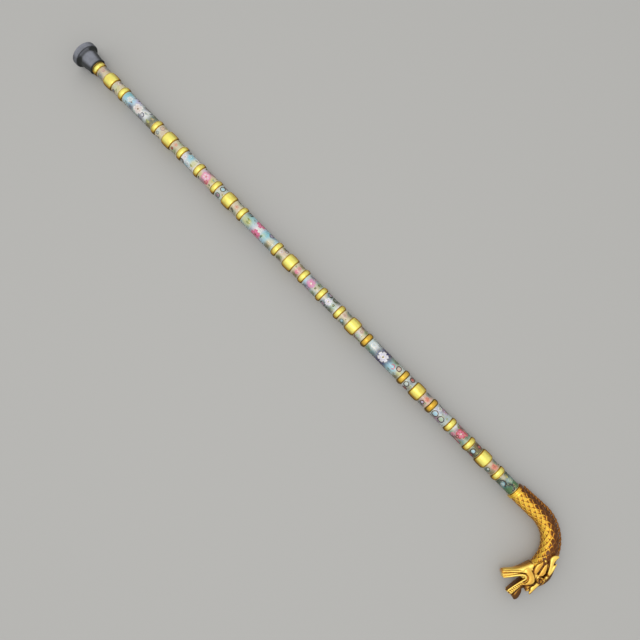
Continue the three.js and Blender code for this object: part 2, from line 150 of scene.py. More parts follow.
class Graph:
    """The node tree of one finish."""

    def __init__(self, name: str, tree: bpy.types.NodeTree | None = None) -> None:
        """Start an empty tree.

        Args:
            name: the material's name.
            tree: a tree to fill in place of a new material's.
        """
        self.material = None
        if tree is None:
            self.material = bpy.data.materials.new(name)
            self.material.use_nodes = True
            tree = self.material.node_tree
        self.tree = tree
        self.tree.nodes.clear()

    def node(self, kind: str, settings: dict | None = None, inputs: dict | None = None) -> bpy.types.Node:
        """Make a node, set what it is, then feed its sockets.

        Args:
            kind: the node's type.
            settings: properties such as operation.
            inputs: values or signals by socket name or number.

        Returns:
            The node.
        """
        made = self.tree.nodes.new(kind)
        for key, value in (settings or {}).items():
            setattr(made, key, value)
        for key, value in (inputs or {}).items():
            socket = made.inputs[key]
            if isinstance(value, Signal):
                self.tree.links.new(value.socket, socket)
            elif isinstance(value, tuple) and socket.type == "RGBA":
                socket.default_value = (*value, 1)
            else:
                socket.default_value = value
        return made

    def signal(
        self,
        kind: str,
        settings: dict | None = None,
        inputs: dict | None = None,
        output: str | int = 0,
        carries: Kind = Kind.NUMBER,
    ) -> Signal:
        """Make a node and take one of its outputs.

        Args:
            kind: the node's type.
            settings: its properties.
            inputs: its sockets' values or signals.
            output: the output's name or number.
            carries: what the output carries.

        Returns:
            The output as a signal.
        """
        return Signal(self, self.node(kind, settings, inputs).outputs[output], carries)

    def arithmetic(self, operation: str, left: Operand, right: Operand) -> Signal:
        """Join two values by a Math node, or by a Vector Math node where either is a vector.

        Args:
            operation: the node's operation.
            left: its first value.
            right: its second value.

        Returns:
            The result.
        """
        vectors = any(isinstance(side, Signal) and side.kind is Kind.VECTOR for side in (left, right))
        kind = "ShaderNodeVectorMath" if vectors else "ShaderNodeMath"
        carries = Kind.VECTOR if vectors else Kind.NUMBER
        return self.signal(kind, {"operation": operation}, {0: left, 1: right}, carries=carries)

    def blend(self, share: Operand, first: Operand, second: Operand, mode: str = "MIX") -> Signal:
        """Blend two colours.

        Args:
            share: how much of the second, from 0 to 1.
            first: the colour at 0.
            second: the colour at 1.
            mode: the blend type.

        Returns:
            The blended colour.
        """
        settings = {"data_type": "RGBA", "blend_type": mode, "clamp_factor": True}
        return self.signal("ShaderNodeMix", settings, {0: share, 6: first, 7: second}, 2, Kind.COLOUR)

    def place(self) -> Signal:
        """Where the shaded point is, in metres in the cane's own frame."""
        return self.signal("ShaderNodeTexCoord", output="Object", carries=Kind.VECTOR)

    def grain(self, size_mm: float, detail: float = 4.0, stretch: Point = (1.0, 1.0, 1.0)) -> Signal:
        """Noise from 0 to 1.

        Args:
            size_mm: the size of its blotches.
            detail: how many finer layers it has.
            stretch: how many times finer it is along each axis.

        Returns:
            The noise.
        """
        inputs = {"Scale": 1 / (size_mm * MM), "Detail": detail, "Roughness": 0.55}
        return self.signal("ShaderNodeTexNoise", None, {"Vector": self.place() * stretch, **inputs})

    def stored(self, name: str, colour: bool = False) -> Signal:
        """A value or colour stored on the mesh's points."""
        return self.signal("ShaderNodeAttribute", {"attribute_name": name}, None,
                           "Color" if colour else "Fac", Kind.COLOUR if colour else Kind.NUMBER)

    def bump(self, height: Signal, depth_mm: float) -> Signal:
        """A normal bent by a height from 0 to 1 that stands for a depth in millimetres."""
        inputs = {"Height": height, "Strength": 1.0, "Distance": depth_mm * MM}
        return self.signal("ShaderNodeBump", None, inputs, carries=Kind.VECTOR)

    def surface(self, inputs: dict) -> bpy.types.Material:
        """Close the tree with a surface shader.

        Args:
            inputs: the shader's sockets.

        Returns:
            The finished material.
        """
        shader = self.signal("ShaderNodeBsdfPrincipled", None, inputs)
        self.node("ShaderNodeOutputMaterial", None, {"Surface": shader})
        return self.material


@dataclass(frozen=True)
class Gilding:
    """Gold-coloured plating, polished where proud, dulled where dirt and lacquer gather, darker in painted
    shade.
    """

    name: str
    bright: Colour
    deep: Colour
    # The darkest tone: old lacquer deep in the hollows, and the deepest painted shade
    tarnish_and_shade: Colour
    roughness: float = 0.2
    grain_mm: float = 1.6
    bump_mm: float = 0.03
    lathe_lines: bool = False
    coat: float = 0.3
    lacquer: Colour = (1.0, 0.95, 0.8)

    def material(self) -> bpy.types.Material:
        """Build the plating's material.

        Returns:
            The material.
        """
        graph = Graph(self.name)
        hollow_and_shade = graph.stored("hollow_and_shade")
        clouds = graph.grain(9.0)
        fine = graph.grain(self.grain_mm)
        pits = graph.grain(0.5, 2.0).ramp(0.62, 0.75)
        # Deeper gold in clouds, hollows and painted shade; old lacquer in deep hollows, darkest painted
        # shade
        tone = graph.blend(clouds.ramp(0.45, 0.8) * 0.45, self.bright, self.deep)
        tone = graph.blend((hollow_and_shade * 1.5 + fine * 0.3 - 0.15).ramp(0.05, 0.8), tone, self.deep)
        tone = graph.blend((hollow_and_shade + fine * 0.35 - 0.2).ramp(0.45, 1.0) * 0.92, tone, self.tarnish_and_shade)
        rough = self.roughness + fine * 0.12 + hollow_and_shade.ramp(0.2, 1.0) * 0.25 + pits * 0.12
        height = fine * 0.7 + pits * -0.3
        if self.lathe_lines:
            height = height * 0.5 + graph.grain(0.25, 2.0, (1.0, 0.02, 0.02)) * 0.5
        return graph.surface({
            "Base Color": tone,
            "Metallic": 1.0,
            "Roughness": rough,
            "Normal": graph.bump(height, self.bump_mm),
            "Coat Weight": self.coat,
            "Coat Roughness": 0.12,
            "Coat Tint": self.lacquer,
        })


@dataclass(frozen=True)
class Enamel:
    """Fired glass whose colour is stored cell by cell, with milky clouds, grit and pinholes."""

    name: str
    roughness: float = 0.2

    def material(self) -> bpy.types.Material:
        """Build the enamel's material.

        Returns:
            The material.
        """
        graph = Graph(self.name)
        glaze = graph.stored("glaze", colour=True)
        hollow_and_shade = graph.stored("hollow_and_shade")
        clouds = graph.grain(2.6, 5.0).ramp(0.35, 0.75)
        grit = graph.grain(0.32, 2.0).ramp(0.56, 0.72)
        pinholes = graph.grain(0.6, 1.0).ramp(0.70, 0.76)
        # Milky clouds, grit in the glass, painted shade at the sides and ends, and dark pinholes
        tone = graph.blend(clouds * 0.08, glaze, (0.8, 0.8, 0.76))
        tone = graph.blend(grit * 0.35, tone, (0.62, 0.62, 0.6), "MULTIPLY")
        tone = graph.blend(hollow_and_shade * 0.4, tone, (0.34, 0.3, 0.24), "MULTIPLY")
        tone = graph.blend(pinholes * 0.8, tone, (0.16, 0.13, 0.1))
        height = graph.grain(1.8, 2.0) * 0.6 - pinholes * 0.6
        return graph.surface({
            "Base Color": tone,
            "Roughness": self.roughness + clouds * 0.1 + pinholes * 0.4,
            "Normal": graph.bump(height, 0.03),
            "IOR": 1.54,
            "Coat Weight": 0.25,
            "Coat Roughness": 0.06,
        })


@dataclass(frozen=True)
class Rubber:
    """Black moulded rubber, worn grey with a bloom, still black in its hollows and black as painted shade.
    """

    name: str
    worn: Colour = shown(132, 135, 146)
    dull: Colour = shown(110, 113, 121)
    black: Colour = shown(36, 39, 38)

    def material(self) -> bpy.types.Material:
        """Build the rubber's material.

        Returns:
            The material.
        """
        graph = Graph(self.name)
        hollow_and_shade = graph.stored("hollow_and_shade")
        clouds = graph.grain(7.0, 5.0)
        fine = graph.grain(0.7, 3.0)
        scuffs = graph.grain(3.0, 4.0, (1.0, 0.15, 0.15)).ramp(0.6, 0.75)
        tone = graph.blend(clouds.ramp(0.35, 0.7) * 0.7, self.worn, self.dull)
        tone = graph.blend(scuffs * 0.4, tone, self.worn)
        # Black in the hollows, and black as painted shade in the cove, on the lip and at the sides
        tone = graph.blend((hollow_and_shade + fine * 0.3 - 0.15).ramp(0.0, 1.0), tone, self.black)
        return graph.surface({
            "Base Color": tone,
            "Roughness": 0.46 + clouds * 0.14 + hollow_and_shade * 0.2,
            "Normal": graph.bump(fine * 0.7 + scuffs * 0.3, 0.04),
            "Specular IOR Level": 0.45,
        })


@dataclass(frozen=True)
class BareMetal:
    """Machined metal with fine lathe lines and light stains."""

    name: str
    clean: Colour
    stained: Colour
    roughness: float = 0.32

    def material(self) -> bpy.types.Material:
        """Build the metal's material.

        Returns:
            The material.
        """
        graph = Graph(self.name)
        lines = graph.grain(0.3, 2.0, (1.0, 0.03, 0.03))
        stain = graph.grain(4.0, 5.0).ramp(0.45, 0.75)
        return graph.surface({
            "Base Color": graph.blend(stain * 0.7, self.clean, self.stained),
            "Metallic": 1.0,
            "Roughness": self.roughness + stain * 0.2 + lines * 0.08,
            "Normal": graph.bump(lines, 0.02),
        })


BEAD_GILT = Gilding("bead_gilding", shown(255, 246, 130), shown(230, 182, 64), shown(100, 76, 28),
                    roughness=0.32, lathe_lines=True, bump_mm=0.015, coat=0.25, lacquer=(1.0, 0.97, 0.88))
WIRE_GILT = Gilding("wire_gilding", shown(240, 228, 176), shown(196, 176, 124), shown(92, 80, 60),
                    bump_mm=0.01)
NECK_GILT = Gilding("neck_gilding", shown(255, 212, 80), shown(228, 156, 42), shown(84, 38, 16),
                    roughness=0.24, bump_mm=0.05, coat=0.4, lacquer=(1.0, 0.94, 0.76))
HEAD_GILT = Gilding("head_gilding", shown(255, 222, 112), shown(226, 164, 64), shown(82, 45, 18),
                    roughness=0.28, bump_mm=0.05, coat=0.3, lacquer=(1.0, 0.95, 0.8))
FIRED_ENAMEL = Enamel("fired_enamel")
FOOT_RUBBER = Rubber("foot_rubber")
BRASS = BareMetal("tip_brass", shown(206, 170, 92), shown(132, 96, 44))
STEEL = BareMetal("zinc_steel", shown(186, 188, 192), shown(120, 118, 116))


@lru_cache(maxsize=None)
def finish_of(finish: Gilding | Enamel | Rubber | BareMetal) -> bpy.types.Material:
    """The one material of a finish."""
    return finish.material()


def linked(name: str, data: bpy.types.ID) -> bpy.types.Object:
    """Put a new object in the scene.

    Args:
        name: its name.
        data: its mesh, lamp or camera.

    Returns:
        The object.
    """
    made = bpy.data.objects.new(name, data)
    bpy.context.scene.collection.objects.link(made)
    return made


@dataclass
class Shell:
    """Forms gathered into one mesh, in millimetres, with a glaze and a hollow-and-shade darkness at each
    point.
    """

    points: list[np.ndarray] = field(default_factory=list)
    faces: list[tuple[int, ...]] = field(default_factory=list)
    glazes: list[np.ndarray] = field(default_factory=list)
    hollow_and_shade_values: list[np.ndarray] = field(default_factory=list)
    slots: list[int] = field(default_factory=list)
    count: int = 0

    def add(self, form: Form, slot: int = 0, glaze: np.ndarray | Colour = (0.5, 0.5, 0.5),
            hollow_and_shade: np.ndarray | float = 0.0) -> None:
        """Put a form in.

        Args:
            form: its points and faces.
            slot: the number of its material.
            glaze: one colour, or one for each point.
            hollow_and_shade: darkness for hollows and painted shade, 0 to 1, as one value or one for each
                point.
        """
        points, faces = form
        size = len(points)
        self.points.append(np.asarray(points, float))
        self.faces.extend(tuple(corner + self.count for corner in face) for face in faces)
        self.glazes.append(np.broadcast_to(np.asarray(glaze, float), (size, 3)))
        self.hollow_and_shade_values.append(np.broadcast_to(np.asarray(hollow_and_shade, float), (size,)))
        self.slots.extend([slot] * len(faces))
        self.count += size

    def piece(self, name: str, finishes: Sequence, sharp_degrees: float = 40.0) -> bpy.types.Object:
        """Turn what was gathered into one object.

        Args:
            name: the object's name.
            finishes: its finishes, by slot.
            sharp_degrees: edges that bend more than this stay crisp.

        Returns:
            The object, in metres.
        """
        mesh = bpy.data.meshes.new(name)
        mesh.from_pydata((np.vstack(self.points) * MM).tolist(), [], self.faces)
        mesh.polygons.foreach_set("material_index", self.slots)
        colours = np.hstack([np.vstack(self.glazes), np.ones((self.count, 1))]).astype(np.float32)
        mesh.attributes.new("glaze", "FLOAT_COLOR", "POINT").data.foreach_set("color", colours.ravel())
        sunken_and_shaded = np.concatenate(self.hollow_and_shade_values).astype(np.float32)
        mesh.attributes.new("hollow_and_shade", "FLOAT", "POINT").data.foreach_set("value", sunken_and_shaded)
        mesh.shade_smooth()
        mesh.set_sharp_from_angle(angle=math.radians(sharp_degrees))
        for finish in finishes:
            mesh.materials.append(finish_of(finish))
        mesh.validate()
        return linked(name, mesh)


def fit(piece: bpy.types.Object, body: str, node: str) -> None:
    """Tie a piece to its body and the solid that it stands for.

    Args:
        piece: the piece.
        body: the body that it rides on.
        node: the solid's node.
    """
    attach(piece, body)
    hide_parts(node)
    log.info("%s: %d faces on %s", piece.name, len(piece.data.polygons), body)


def extent(node: str) -> tuple[float, float, float]:
    """Where a solid starts and ends along the cane, and how high it reaches, in millimetres."""
    low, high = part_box(node)
    return low.x / MM, high.x / MM, high.z / MM


def round_angles(count: int) -> np.ndarray:
    """Angles at even steps round a full turn."""
    return 2 * np.pi * np.arange(count) / count


def tube_faces(rows: int, sides: int, closed: bool = False) -> list[tuple[int, ...]]:
    """Faces between rings of points, with flat ends unless the last ring joins the first.

    Args:
        rows: how many rings there are.
        sides: how many points a ring has.
        closed: whether the last ring joins the first.

    Returns:
        The faces.
    """
    spans = rows if closed else rows - 1
    faces = [
        (row * sides + k, row * sides + (k + 1) % sides,
         (row + 1) % rows * sides + (k + 1) % sides, (row + 1) % rows * sides + k)
        for row in range(spans) for k in range(sides)
    ]
    if not closed:
        faces.append(tuple(reversed(range(sides))))
        faces.append(tuple((rows - 1) * sides + k for k in range(sides)))
    return faces


def turned(profile: Profile, sides: int = 64) -> Form:
    """A body turned about X.

    Args:
        profile: x and radius of each point, closed on itself, or from axis to axis.
        sides: how many faces go round.

    Returns:
        The body's points and faces.
    """
    points: list[Point] = []
    rows: list[list[int]] = []
    for x, radius in profile:
        if radius < 1e-6:
            rows.append([len(points)] * sides)
            points.append((x, 0.0, 0.0))
            continue
        rows.append(list(range(len(points), len(points) + sides)))
        for k in range(sides):
            angle = 2 * math.pi * k / sides
            points.append((x, -radius * math.sin(angle), radius * math.cos(angle)))
    looped = profile[0][1] >= 1e-6
    faces = []
    for number in range(len(rows) if looped else len(rows) - 1):
        low, high = rows[number], rows[(number + 1) % len(rows)]
        for k in range(sides):
            corners = (low[k], low[(k + 1) % sides], high[(k + 1) % sides], high[k])
            kept = tuple(dict.fromkeys(corners))
            if len(kept) > 2:
                faces.append(kept)
    return np.array(points), faces


def side_shade(points: np.ndarray, low: float, high: float) -> np.ndarray:
    """Painted shade round to the cane's sides, which face away from the light overhead.

    Args:
        points: places in the cane's frame.
        low: the share of the way across at which the painted shade starts.
        high: the share at which it is full.

    Returns:
        0 over the top and underneath, up to 1 at the sides.
    """
    across = np.abs(points[:, 1]) / np.maximum(np.hypot(points[:, 1], points[:, 2]), 1e-6)
    return np.clip((across - low) / (high - low), 0, 1)


def arc(centre: tuple[float, float], radii: tuple[float, float], start: float, end: float,
        steps: int = 6) -> Profile:
    """Points of an elliptical arc in a profile, with angles in degrees from +X towards growing radius."""
    angles = (math.radians(start + (end - start) * step / steps) for step in range(steps + 1))
    return [(centre[0] + radii[0] * math.cos(a), centre[1] + radii[1] * math.sin(a)) for a in angles]


def smooth_path(keys: Sequence[Sequence[float]], count: int, closed: bool = False) -> np.ndarray:
    """A smooth run through key points.

    Args:
        keys: the key points, each with any number of values.
        count: how many points are wanted.
        closed: whether the run joins itself.

    Returns:
        The points, one in a row.
    """
    knots = np.array(keys, float)
    if closed:
        knots = np.vstack([knots[-1], knots, knots[0], knots[1]])
        spans = len(keys)
    else:
        knots = np.vstack([2 * knots[0] - knots[1], knots, 2 * knots[-1] - knots[-2]])
        spans = len(keys) - 1
    along = np.linspace(0, spans, count + (1 if closed else 0))[: count]
    span = np.minimum(along.astype(int), spans - 1)
    t = (along - span)[:, None]
    a, b, c, d = (knots[span + shift] for shift in range(4))
    return 0.5 * (2 * b + (c - a) * t + (2 * a - 5 * b + 4 * c - d) * t**2 + (3 * b - a - 3 * c + d) * t**3)


def sideways(path: np.ndarray, closed: bool) -> np.ndarray:
    """Unit directions to the left of a flat path.

    Args:
        path: its points.
        closed: whether it joins itself.

    Returns:
        One direction for each point.
    """
    run = np.roll(path, -1, axis=0) - np.roll(path, 1, axis=0) if closed else np.gradient(path, axis=0)
    run = run / np.maximum(np.linalg.norm(run, axis=1), 1e-9)[:, None]
    return np.stack([-run[:, 1], run[:, 0]], axis=1)


@dataclass
class BeadSkin:
    """The barrel of one bead. Motifs lie on it in millimetres along the cane and round the barrel."""

    shell: Shell
    start: float
    radius: float
    shift: float = 0.0
    enamel_slot: int = 0
    wire_slot: int = 1
    wire_half_width: float = 0.11
    wire_half_height: float = 0.1
    wire_sides: int = 6
    sunk: float = 0.06

    def place(self, flat: np.ndarray, lift: np.ndarray | float) -> np.ndarray:
        """Points on the barrel.

        Args:
            flat: distances along and round, one pair in a row.
            lift: heights above the barrel.

        Returns:
            The points in the cane's frame.
        """
        angle = (flat[..., 1] + self.shift) / self.radius
        out = self.radius + lift
        return np.stack([self.start + flat[..., 0], -out * np.sin(angle), out * np.cos(angle)], axis=-1)

    def cell(self, outline: np.ndarray, centre: np.ndarray, tint: Callable[[np.ndarray], np.ndarray],
             rings: int = 4, swell: float = 0.09) -> None:
        """A cell of enamel, a little crowned.

        Args:
            outline: its border.
            centre: where its crown is.
            tint: the colour at each of some flat points.
            rings: how many rings of faces it has.
            swell: the crown's height.
        """
        shares = np.arange(1, rings + 1) / rings
        flat = np.vstack([centre[None], *(centre + (outline - centre) * share for share in shares)])
        lift = np.concatenate([[1.0], *(np.full(len(outline), 1 - share**2) for share in shares)]) * swell
        size = len(outline)
        lift[-size:] = -self.sunk
        faces: list[tuple[int, ...]] = [(0, 1 + k, 1 + (k + 1) % size) for k in range(size)]
        for ring in range(rings - 1):
            base = 1 + ring * size
            faces += [(base + k, base + size + k, base + size + (k + 1) % size, base + (k + 1) % size)
                      for k in range(size)]
        points = self.place(flat, lift)
        # Painted shade towards the barrel's sides
        self.shell.add((points, faces), self.enamel_slot, tint(flat), side_shade(points, 0.5, 1.0))

    def wire(self, path: np.ndarray, closed: bool = False, thickness: float = 1.0) -> None:
        """A soldered wire along a path.

        Args:
            path: its flat points.
            closed: whether it joins itself.
            thickness: its width as a share of the usual.
        """
        turns = round_angles(self.wire_sides)
        across = self.wire_half_width * thickness * np.cos(turns)
        flat = path[:, None, :] + sideways(path, closed)[:, None, :] * across[None, :, None]
        lift = np.broadcast_to(0.05 + self.wire_half_height * np.sin(turns), flat.shape[:2])
        points = self.place(flat, lift).reshape(-1, 3)
        faces = tube_faces(len(path), self.wire_sides, closed)
        # Painted shade on the wire towards the barrel's sides
        self.shell.add((points, faces), self.wire_slot, hollow_and_shade=side_shade(points, 0.45, 0.9))

    def ribbon(self, path: np.ndarray, width: float, glaze: Glaze, closed: bool = False) -> None:
        """A band of enamel between two wires along a path, drawn in at open ends.

        Args:
            path: the middle of the band.
            width: the band's width.
            glaze: its colour.
            closed: whether it joins itself.
        """
        rows = len(path)
        share = np.linspace(0, 1, rows)
        half = width / 2 * (np.ones(rows) if closed else np.clip(np.sin(np.pi * share) * 2.2, 0.12, 1))
        aside = sideways(path, closed)
        edges = [path + aside * (half * k)[:, None] for k in (-1, -0.85, 0, 0.85, 1)]
        flat = np.stack(edges, axis=1)
        lift = np.broadcast_to(np.array([-0.05, 0.05, 0.07, 0.05, -0.05]), flat.shape[:2])
        faces = [
            ((row + 1) % rows * 5 + k, (row + 1) % rows * 5 + k + 1, row * 5 + k + 1, row * 5 + k)
            for row in range(rows if closed else rows - 1) for k in range(4)
        ]
        points = self.place(flat, lift).reshape(-1, 3)
        # Painted shade on the band towards the barrel's sides
        self.shell.add((points, faces), self.enamel_slot, glaze.value, side_shade(points, 0.5, 1.0))
        for edge in (edges[0], edges[-1]):
            self.wire(edge, closed, 0.55)


def mixed(first: Glaze, second: Glaze, share: np.ndarray) -> np.ndarray:
    """Colours between two glazes, one for each share from 0 to 1."""
    share = np.clip(share, 0, 1)[:, None]
    return np.array(first.value) * (1 - share) + np.array(second.value) * share


def plain(glaze: Glaze) -> Callable[[np.ndarray], np.ndarray]:
    """A tint that is one glaze all over."""
    return lambda flat: np.tile(np.array(glaze.value), (len(flat), 1))


def polar(reach: np.ndarray | float, turns: np.ndarray) -> np.ndarray:
    """Flat points at distances and angles from the middle."""
    return np.stack([reach * np.cos(turns), reach * np.sin(turns)], axis=1)


def circle(centre: np.ndarray, radius: float, count: int = 20) -> np.ndarray:
    """Flat points of a circle."""
    return centre + polar(radius, round_angles(count))


@dataclass(frozen=True)
class Motif:
    """A drawing on a bead, placed by its distance along the bead and its angle from the top in degrees."""

    along: float
    angle: float

    def centre(self, skin: BeadSkin) -> np.ndarray:
        """The motif's place on the bead's barrel, in millimetres."""
        return np.array([self.along, math.radians(self.angle) * skin.radius])

    def draw(self, skin: BeadSkin) -> None:
        """Draw the motif."""
        raise NotImplementedError


@dataclass(frozen=True)
class Flower(Motif):
    """Round petals about a small heart."""

    size: float = 4.0
    inner: Glaze = Glaze.PINK
    outer: Glaze = Glaze.WHITE
    heart: Glaze = Glaze.RED
    petals: int = 5
    turn: float = 20.0

    def draw(self, skin: BeadSkin) -> None:
        """Draw a bed, the petals over it, and the heart over their roots.

        Args:
            skin: the bead's barrel.
        """
        centre = self.centre(skin)
        core = self.size * 0.2
        t = np.linspace(-1, 1, 15)
        notch = 1 - 0.08 * np.exp(-((t / 0.2) ** 2))
        reach = core + (self.size - core) * np.sqrt(1 - np.abs(t) ** 7) * notch

        def tint(flat: np.ndarray) -> np.ndarray:
            """Paler towards the petal's rim."""
            far = np.linalg.norm(flat - centre, axis=1) / self.size
            return mixed(self.inner, self.outer, (far - 0.3) * 1.9)

        bed = circle(centre, self.size * 0.76, 40)
        skin.cell(bed, centre, lambda flat: mixed(self.inner, self.outer, np.full(len(flat), 0.7)), 9, 0.05)
        for number in range(self.petals):
            heading = math.radians(self.turn) + 2 * math.pi * number / self.petals
            spread = heading + t * math.pi / self.petals * 0.98
            outline = centre + polar(reach, spread)
            middle = centre + self.size * 0.58 * np.array([math.cos(heading), math.sin(heading)])
            skin.cell(outline, middle, tint)
            skin.wire(outline, closed=True, thickness=0.6)
        skin.cell(circle(centre, core, 12), centre, plain(self.heart), 2, 0.16)
        skin.wire(circle(centre, core, 14), closed=True)


@dataclass(frozen=True)
class Leaf(Motif):
    """A pointed leaf with a midrib, from its stalk outwards."""

    length: float = 5.0
    width: float = 2.2
    heading: float = 0.0
    root: Glaze = Glaze.LEAF
    tip: Glaze = Glaze.MINT
    bend: float = 0.6

    def draw(self, skin: BeadSkin) -> None:
        """Draw the blade and its midrib.

        Args:
            skin: the bead's barrel.
        """
        base = self.centre(skin)
        turn = math.radians(self.heading)
        forward = np.array([math.cos(turn), math.sin(turn)])
        aside = np.array([-forward[1], forward[0]])
        t = np.linspace(0, 1, 12)
        bow = aside * (self.bend * np.sin(np.pi * t))[:, None]
        spine = base + forward * (self.length * t)[:, None] + bow
        half = self.width / 2 * np.sin(np.pi * t) ** 0.8
        outline = np.vstack([spine + aside * half[:, None], (spine - aside * half[:, None])[-2:0:-1]])
        skin.cell(outline, spine[5],
                  lambda flat: mixed(self.root, self.tip, (flat - base) @ forward / self.length))
        skin.wire(outline, closed=True)
        skin.wire(spine[:10], thickness=0.7)


@dataclass(frozen=True)
class Disc(Motif):
    """A pale disc with a dark band round it and a spiral of wire in it."""

    size: float = 2.6
    fill: Glaze = Glaze.SKY
    band: Glaze = Glaze.INK
    band_width: float = 0.9

    def draw(self, skin: BeadSkin) -> None:
        """Draw the disc, its band and its spiral.

        Args:
            skin: the bead's barrel.
        """
        centre = self.centre(skin)
        inside = self.size - self.band_width
        skin.cell(circle(centre, inside + 0.1), centre, plain(self.fill), 3)
        middle = circle(centre, self.size - self.band_width / 2, 28)
        skin.ribbon(middle, self.band_width, self.band, closed=True)
        t = np.linspace(0, 1, 26)
        spiral = centre + polar(inside * 0.8 * t, 0.6 + t * 2 * math.pi * 1.6)
        skin.wire(spiral[3:], thickness=0.7)


@dataclass(frozen=True)
class Scroll(Motif):
    """A dark or coloured C-scroll that winds in at its end."""

    size: float = 3.0
    band: Glaze = Glaze.INK
    width: float = 1.0
    start: float = 180.0
    sweep: float = 260.0
    winds_in: float = 0.45

    def draw(self, skin: BeadSkin) -> None:
        """Draw the scroll's band.

        Args:
            skin: the bead's barrel.
        """
        centre = self.centre(skin)
        t = np.linspace(0, 1, 30)
        turns = np.radians(self.start + self.sweep * t)
        path = centre + polar(self.size * (1 - self.winds_in * t**1.5), turns)
        skin.ribbon(path, self.width, self.band)


@dataclass(frozen=True)
class Wash:
    """A soft patch of another ground colour."""

    along: float
    angle: float
    size: float
    glaze: Glaze
    strength: float = 0.9


@dataclass(frozen=True)
class BeadDesign:
    """What is drawn on a bead, and how many times it goes round."""

    ground: Glaze
    washes: tuple[Wash, ...] = ()
    motifs: tuple[Motif, ...] = ()
    copies: int = 3


@dataclass
class EnamelBead:
    """One tube bead: an enamelled barrel with fired cells, soldered wires and a gilt rim at each end."""

    node: str
    piece_name: str
    slot: str
    design: BeadDesign
    sides: int = 72
    row_mm: float = 0.6
    wire_room: float = 0.12
    shoulder: float = 1.2
    end_drop: float = 0.55
    rim_inset: float = 0.05
    rim_width: float = 0.75
    rim_height: float = 0.22
    bore: float = 3.2
    curl_mm: float = 1.15
    curl_spacing: float = 3.1
    curl_margin: float = 1.6
    curl_jitter: float = 0.15

    def __post_init__(self) -> None:
        """Take the bead's place and radius from its solid."""
        self.start, self.end, top = extent(self.node)
        self.radius = top - self.wire_room
        self.length = self.end - self.start

    def ground(self, points: np.ndarray) -> np.ndarray:
        """The ground colour at each of some points.

        Args:
            points: places in the cane's frame.

        Returns:
            One colour for each.
        """
        tone = np.tile(np.array(self.design.ground.value), (len(points), 1))
        along = points[:, 0] - self.start
        angle = np.arctan2(-points[:, 1], points[:, 2])
        for wash in self.design.washes:
            for copy in range(self.design.copies):
                at = math.radians(wash.angle) + 2 * math.pi * copy / self.design.copies
                apart = (angle - at + math.pi) % (2 * math.pi) - math.pi
                far = ((along - wash.along) ** 2 + (apart * self.radius) ** 2) / wash.size**2
                share = (wash.strength * np.exp(-(far**1.5)))[:, None]
                tone = tone * (1 - share) + np.array(wash.glaze.value) * share
        return tone

    def barrel(self) -> Profile:
        """The bead's profile, with round shoulders and its bore.

        Returns:
            The profile.
        """
        low, high = self.start, self.end
        first_row, last_row = low + self.shoulder + self.row_mm, high - self.shoulder - self.row_mm / 2
        rows = np.arange(first_row, last_row, self.row_mm)
        edge = self.radius - self.end_drop
        return [
            (low, self.bore),
            *arc((low + self.shoulder, edge), (self.shoulder, self.end_drop), 180, 90),
            *((x, self.radius) for x in rows),
            *arc((high - self.shoulder, edge), (self.shoulder, self.end_drop), 90, 0),
            (high, self.bore),
        ]

    def curls(self, skin: BeadSkin, chance: random.Random) -> None:
        """Fill the ground with small spirals of wire.

        Args:
            skin: the barrel.
            chance: the source of their turns.
        """
        taken = [m.centre(skin) for m in self.design.motifs]
        sizes = [getattr(m, "size", getattr(m, "length", 3.0) * 0.6) for m in self.design.motifs]
        round_mm = 2 * math.pi * self.radius / self.design.copies
        along_mm = self.length - 2 * self.curl_margin
        columns = max(1, round(round_mm / self.curl_spacing))
        rows = max(1, round(along_mm / self.curl_spacing))
        jitter = (-self.curl_jitter, self.curl_jitter)
        t = np.linspace(0, 1, 15)
        half_round = round_mm / 2
        for row in range(rows):
            for column in range(columns):
                spot = np.array([
                    self.curl_margin + (row + 0.5 + chance.uniform(*jitter)) * along_mm / rows,
                    (column + 0.5 * (row % 2) + chance.uniform(*jitter)) * round_mm / columns,
                ])
                apart = [np.hypot(spot[0] - at[0], (spot[1] - at[1] + half_round) % round_mm - half_round)
                         for at in taken]
                turn, hand = chance.uniform(0, 2 * math.pi), chance.choice((-1, 1))
                if any(gap < size + self.curl_mm for gap, size in zip(apart, sizes)):
                    continue
                curl = polar(self.curl_mm * (1 - 0.85 * t), turn + hand * t * 2 * math.pi * 1.35)
                skin.wire(spot + curl, thickness=0.6)

    def build(self) -> None:
        """Make the bead and put it in place."""
        shell = Shell()
        body = turned(self.barrel(), self.sides)
        ends = np.minimum(np.abs(body[0][:, 0] - self.start), np.abs(body[0][:, 0] - self.end))
        # Painted shade at the bead's ends, where it meets its neighbours, and towards its sides
        dull = np.maximum(np.clip(1 - ends / 1.5, 0, 1) * 0.5, side_shade(body[0], 0.5, 1.0))
        shell.add(body, glaze=self.ground(body[0]), hollow_and_shade=dull)
        chance = random.Random(self.node)
        for copy in range(self.design.copies):
            shift = 2 * math.pi * self.radius * copy / self.design.copies
            skin = BeadSkin(shell, self.start, self.radius, shift)
            for motif in self.design.motifs:
                motif.draw(skin)
            self.curls(skin, chance)
        inset = self.rim_width / 2 + self.rim_inset
        for middle in (self.start + inset, self.end - inset):
            centre = (middle, self.radius - self.end_drop * 0.62)
            ring = arc(centre, (self.rim_width / 2, self.rim_height + 0.2), 0, 360, 10)[:-1]
            shell.add(turned(ring, self.sides), 1, hollow_and_shade=0.25)
        fit(shell.piece(self.piece_name, (FIRED_ENAMEL, WIRE_GILT)), CANE, self.node)


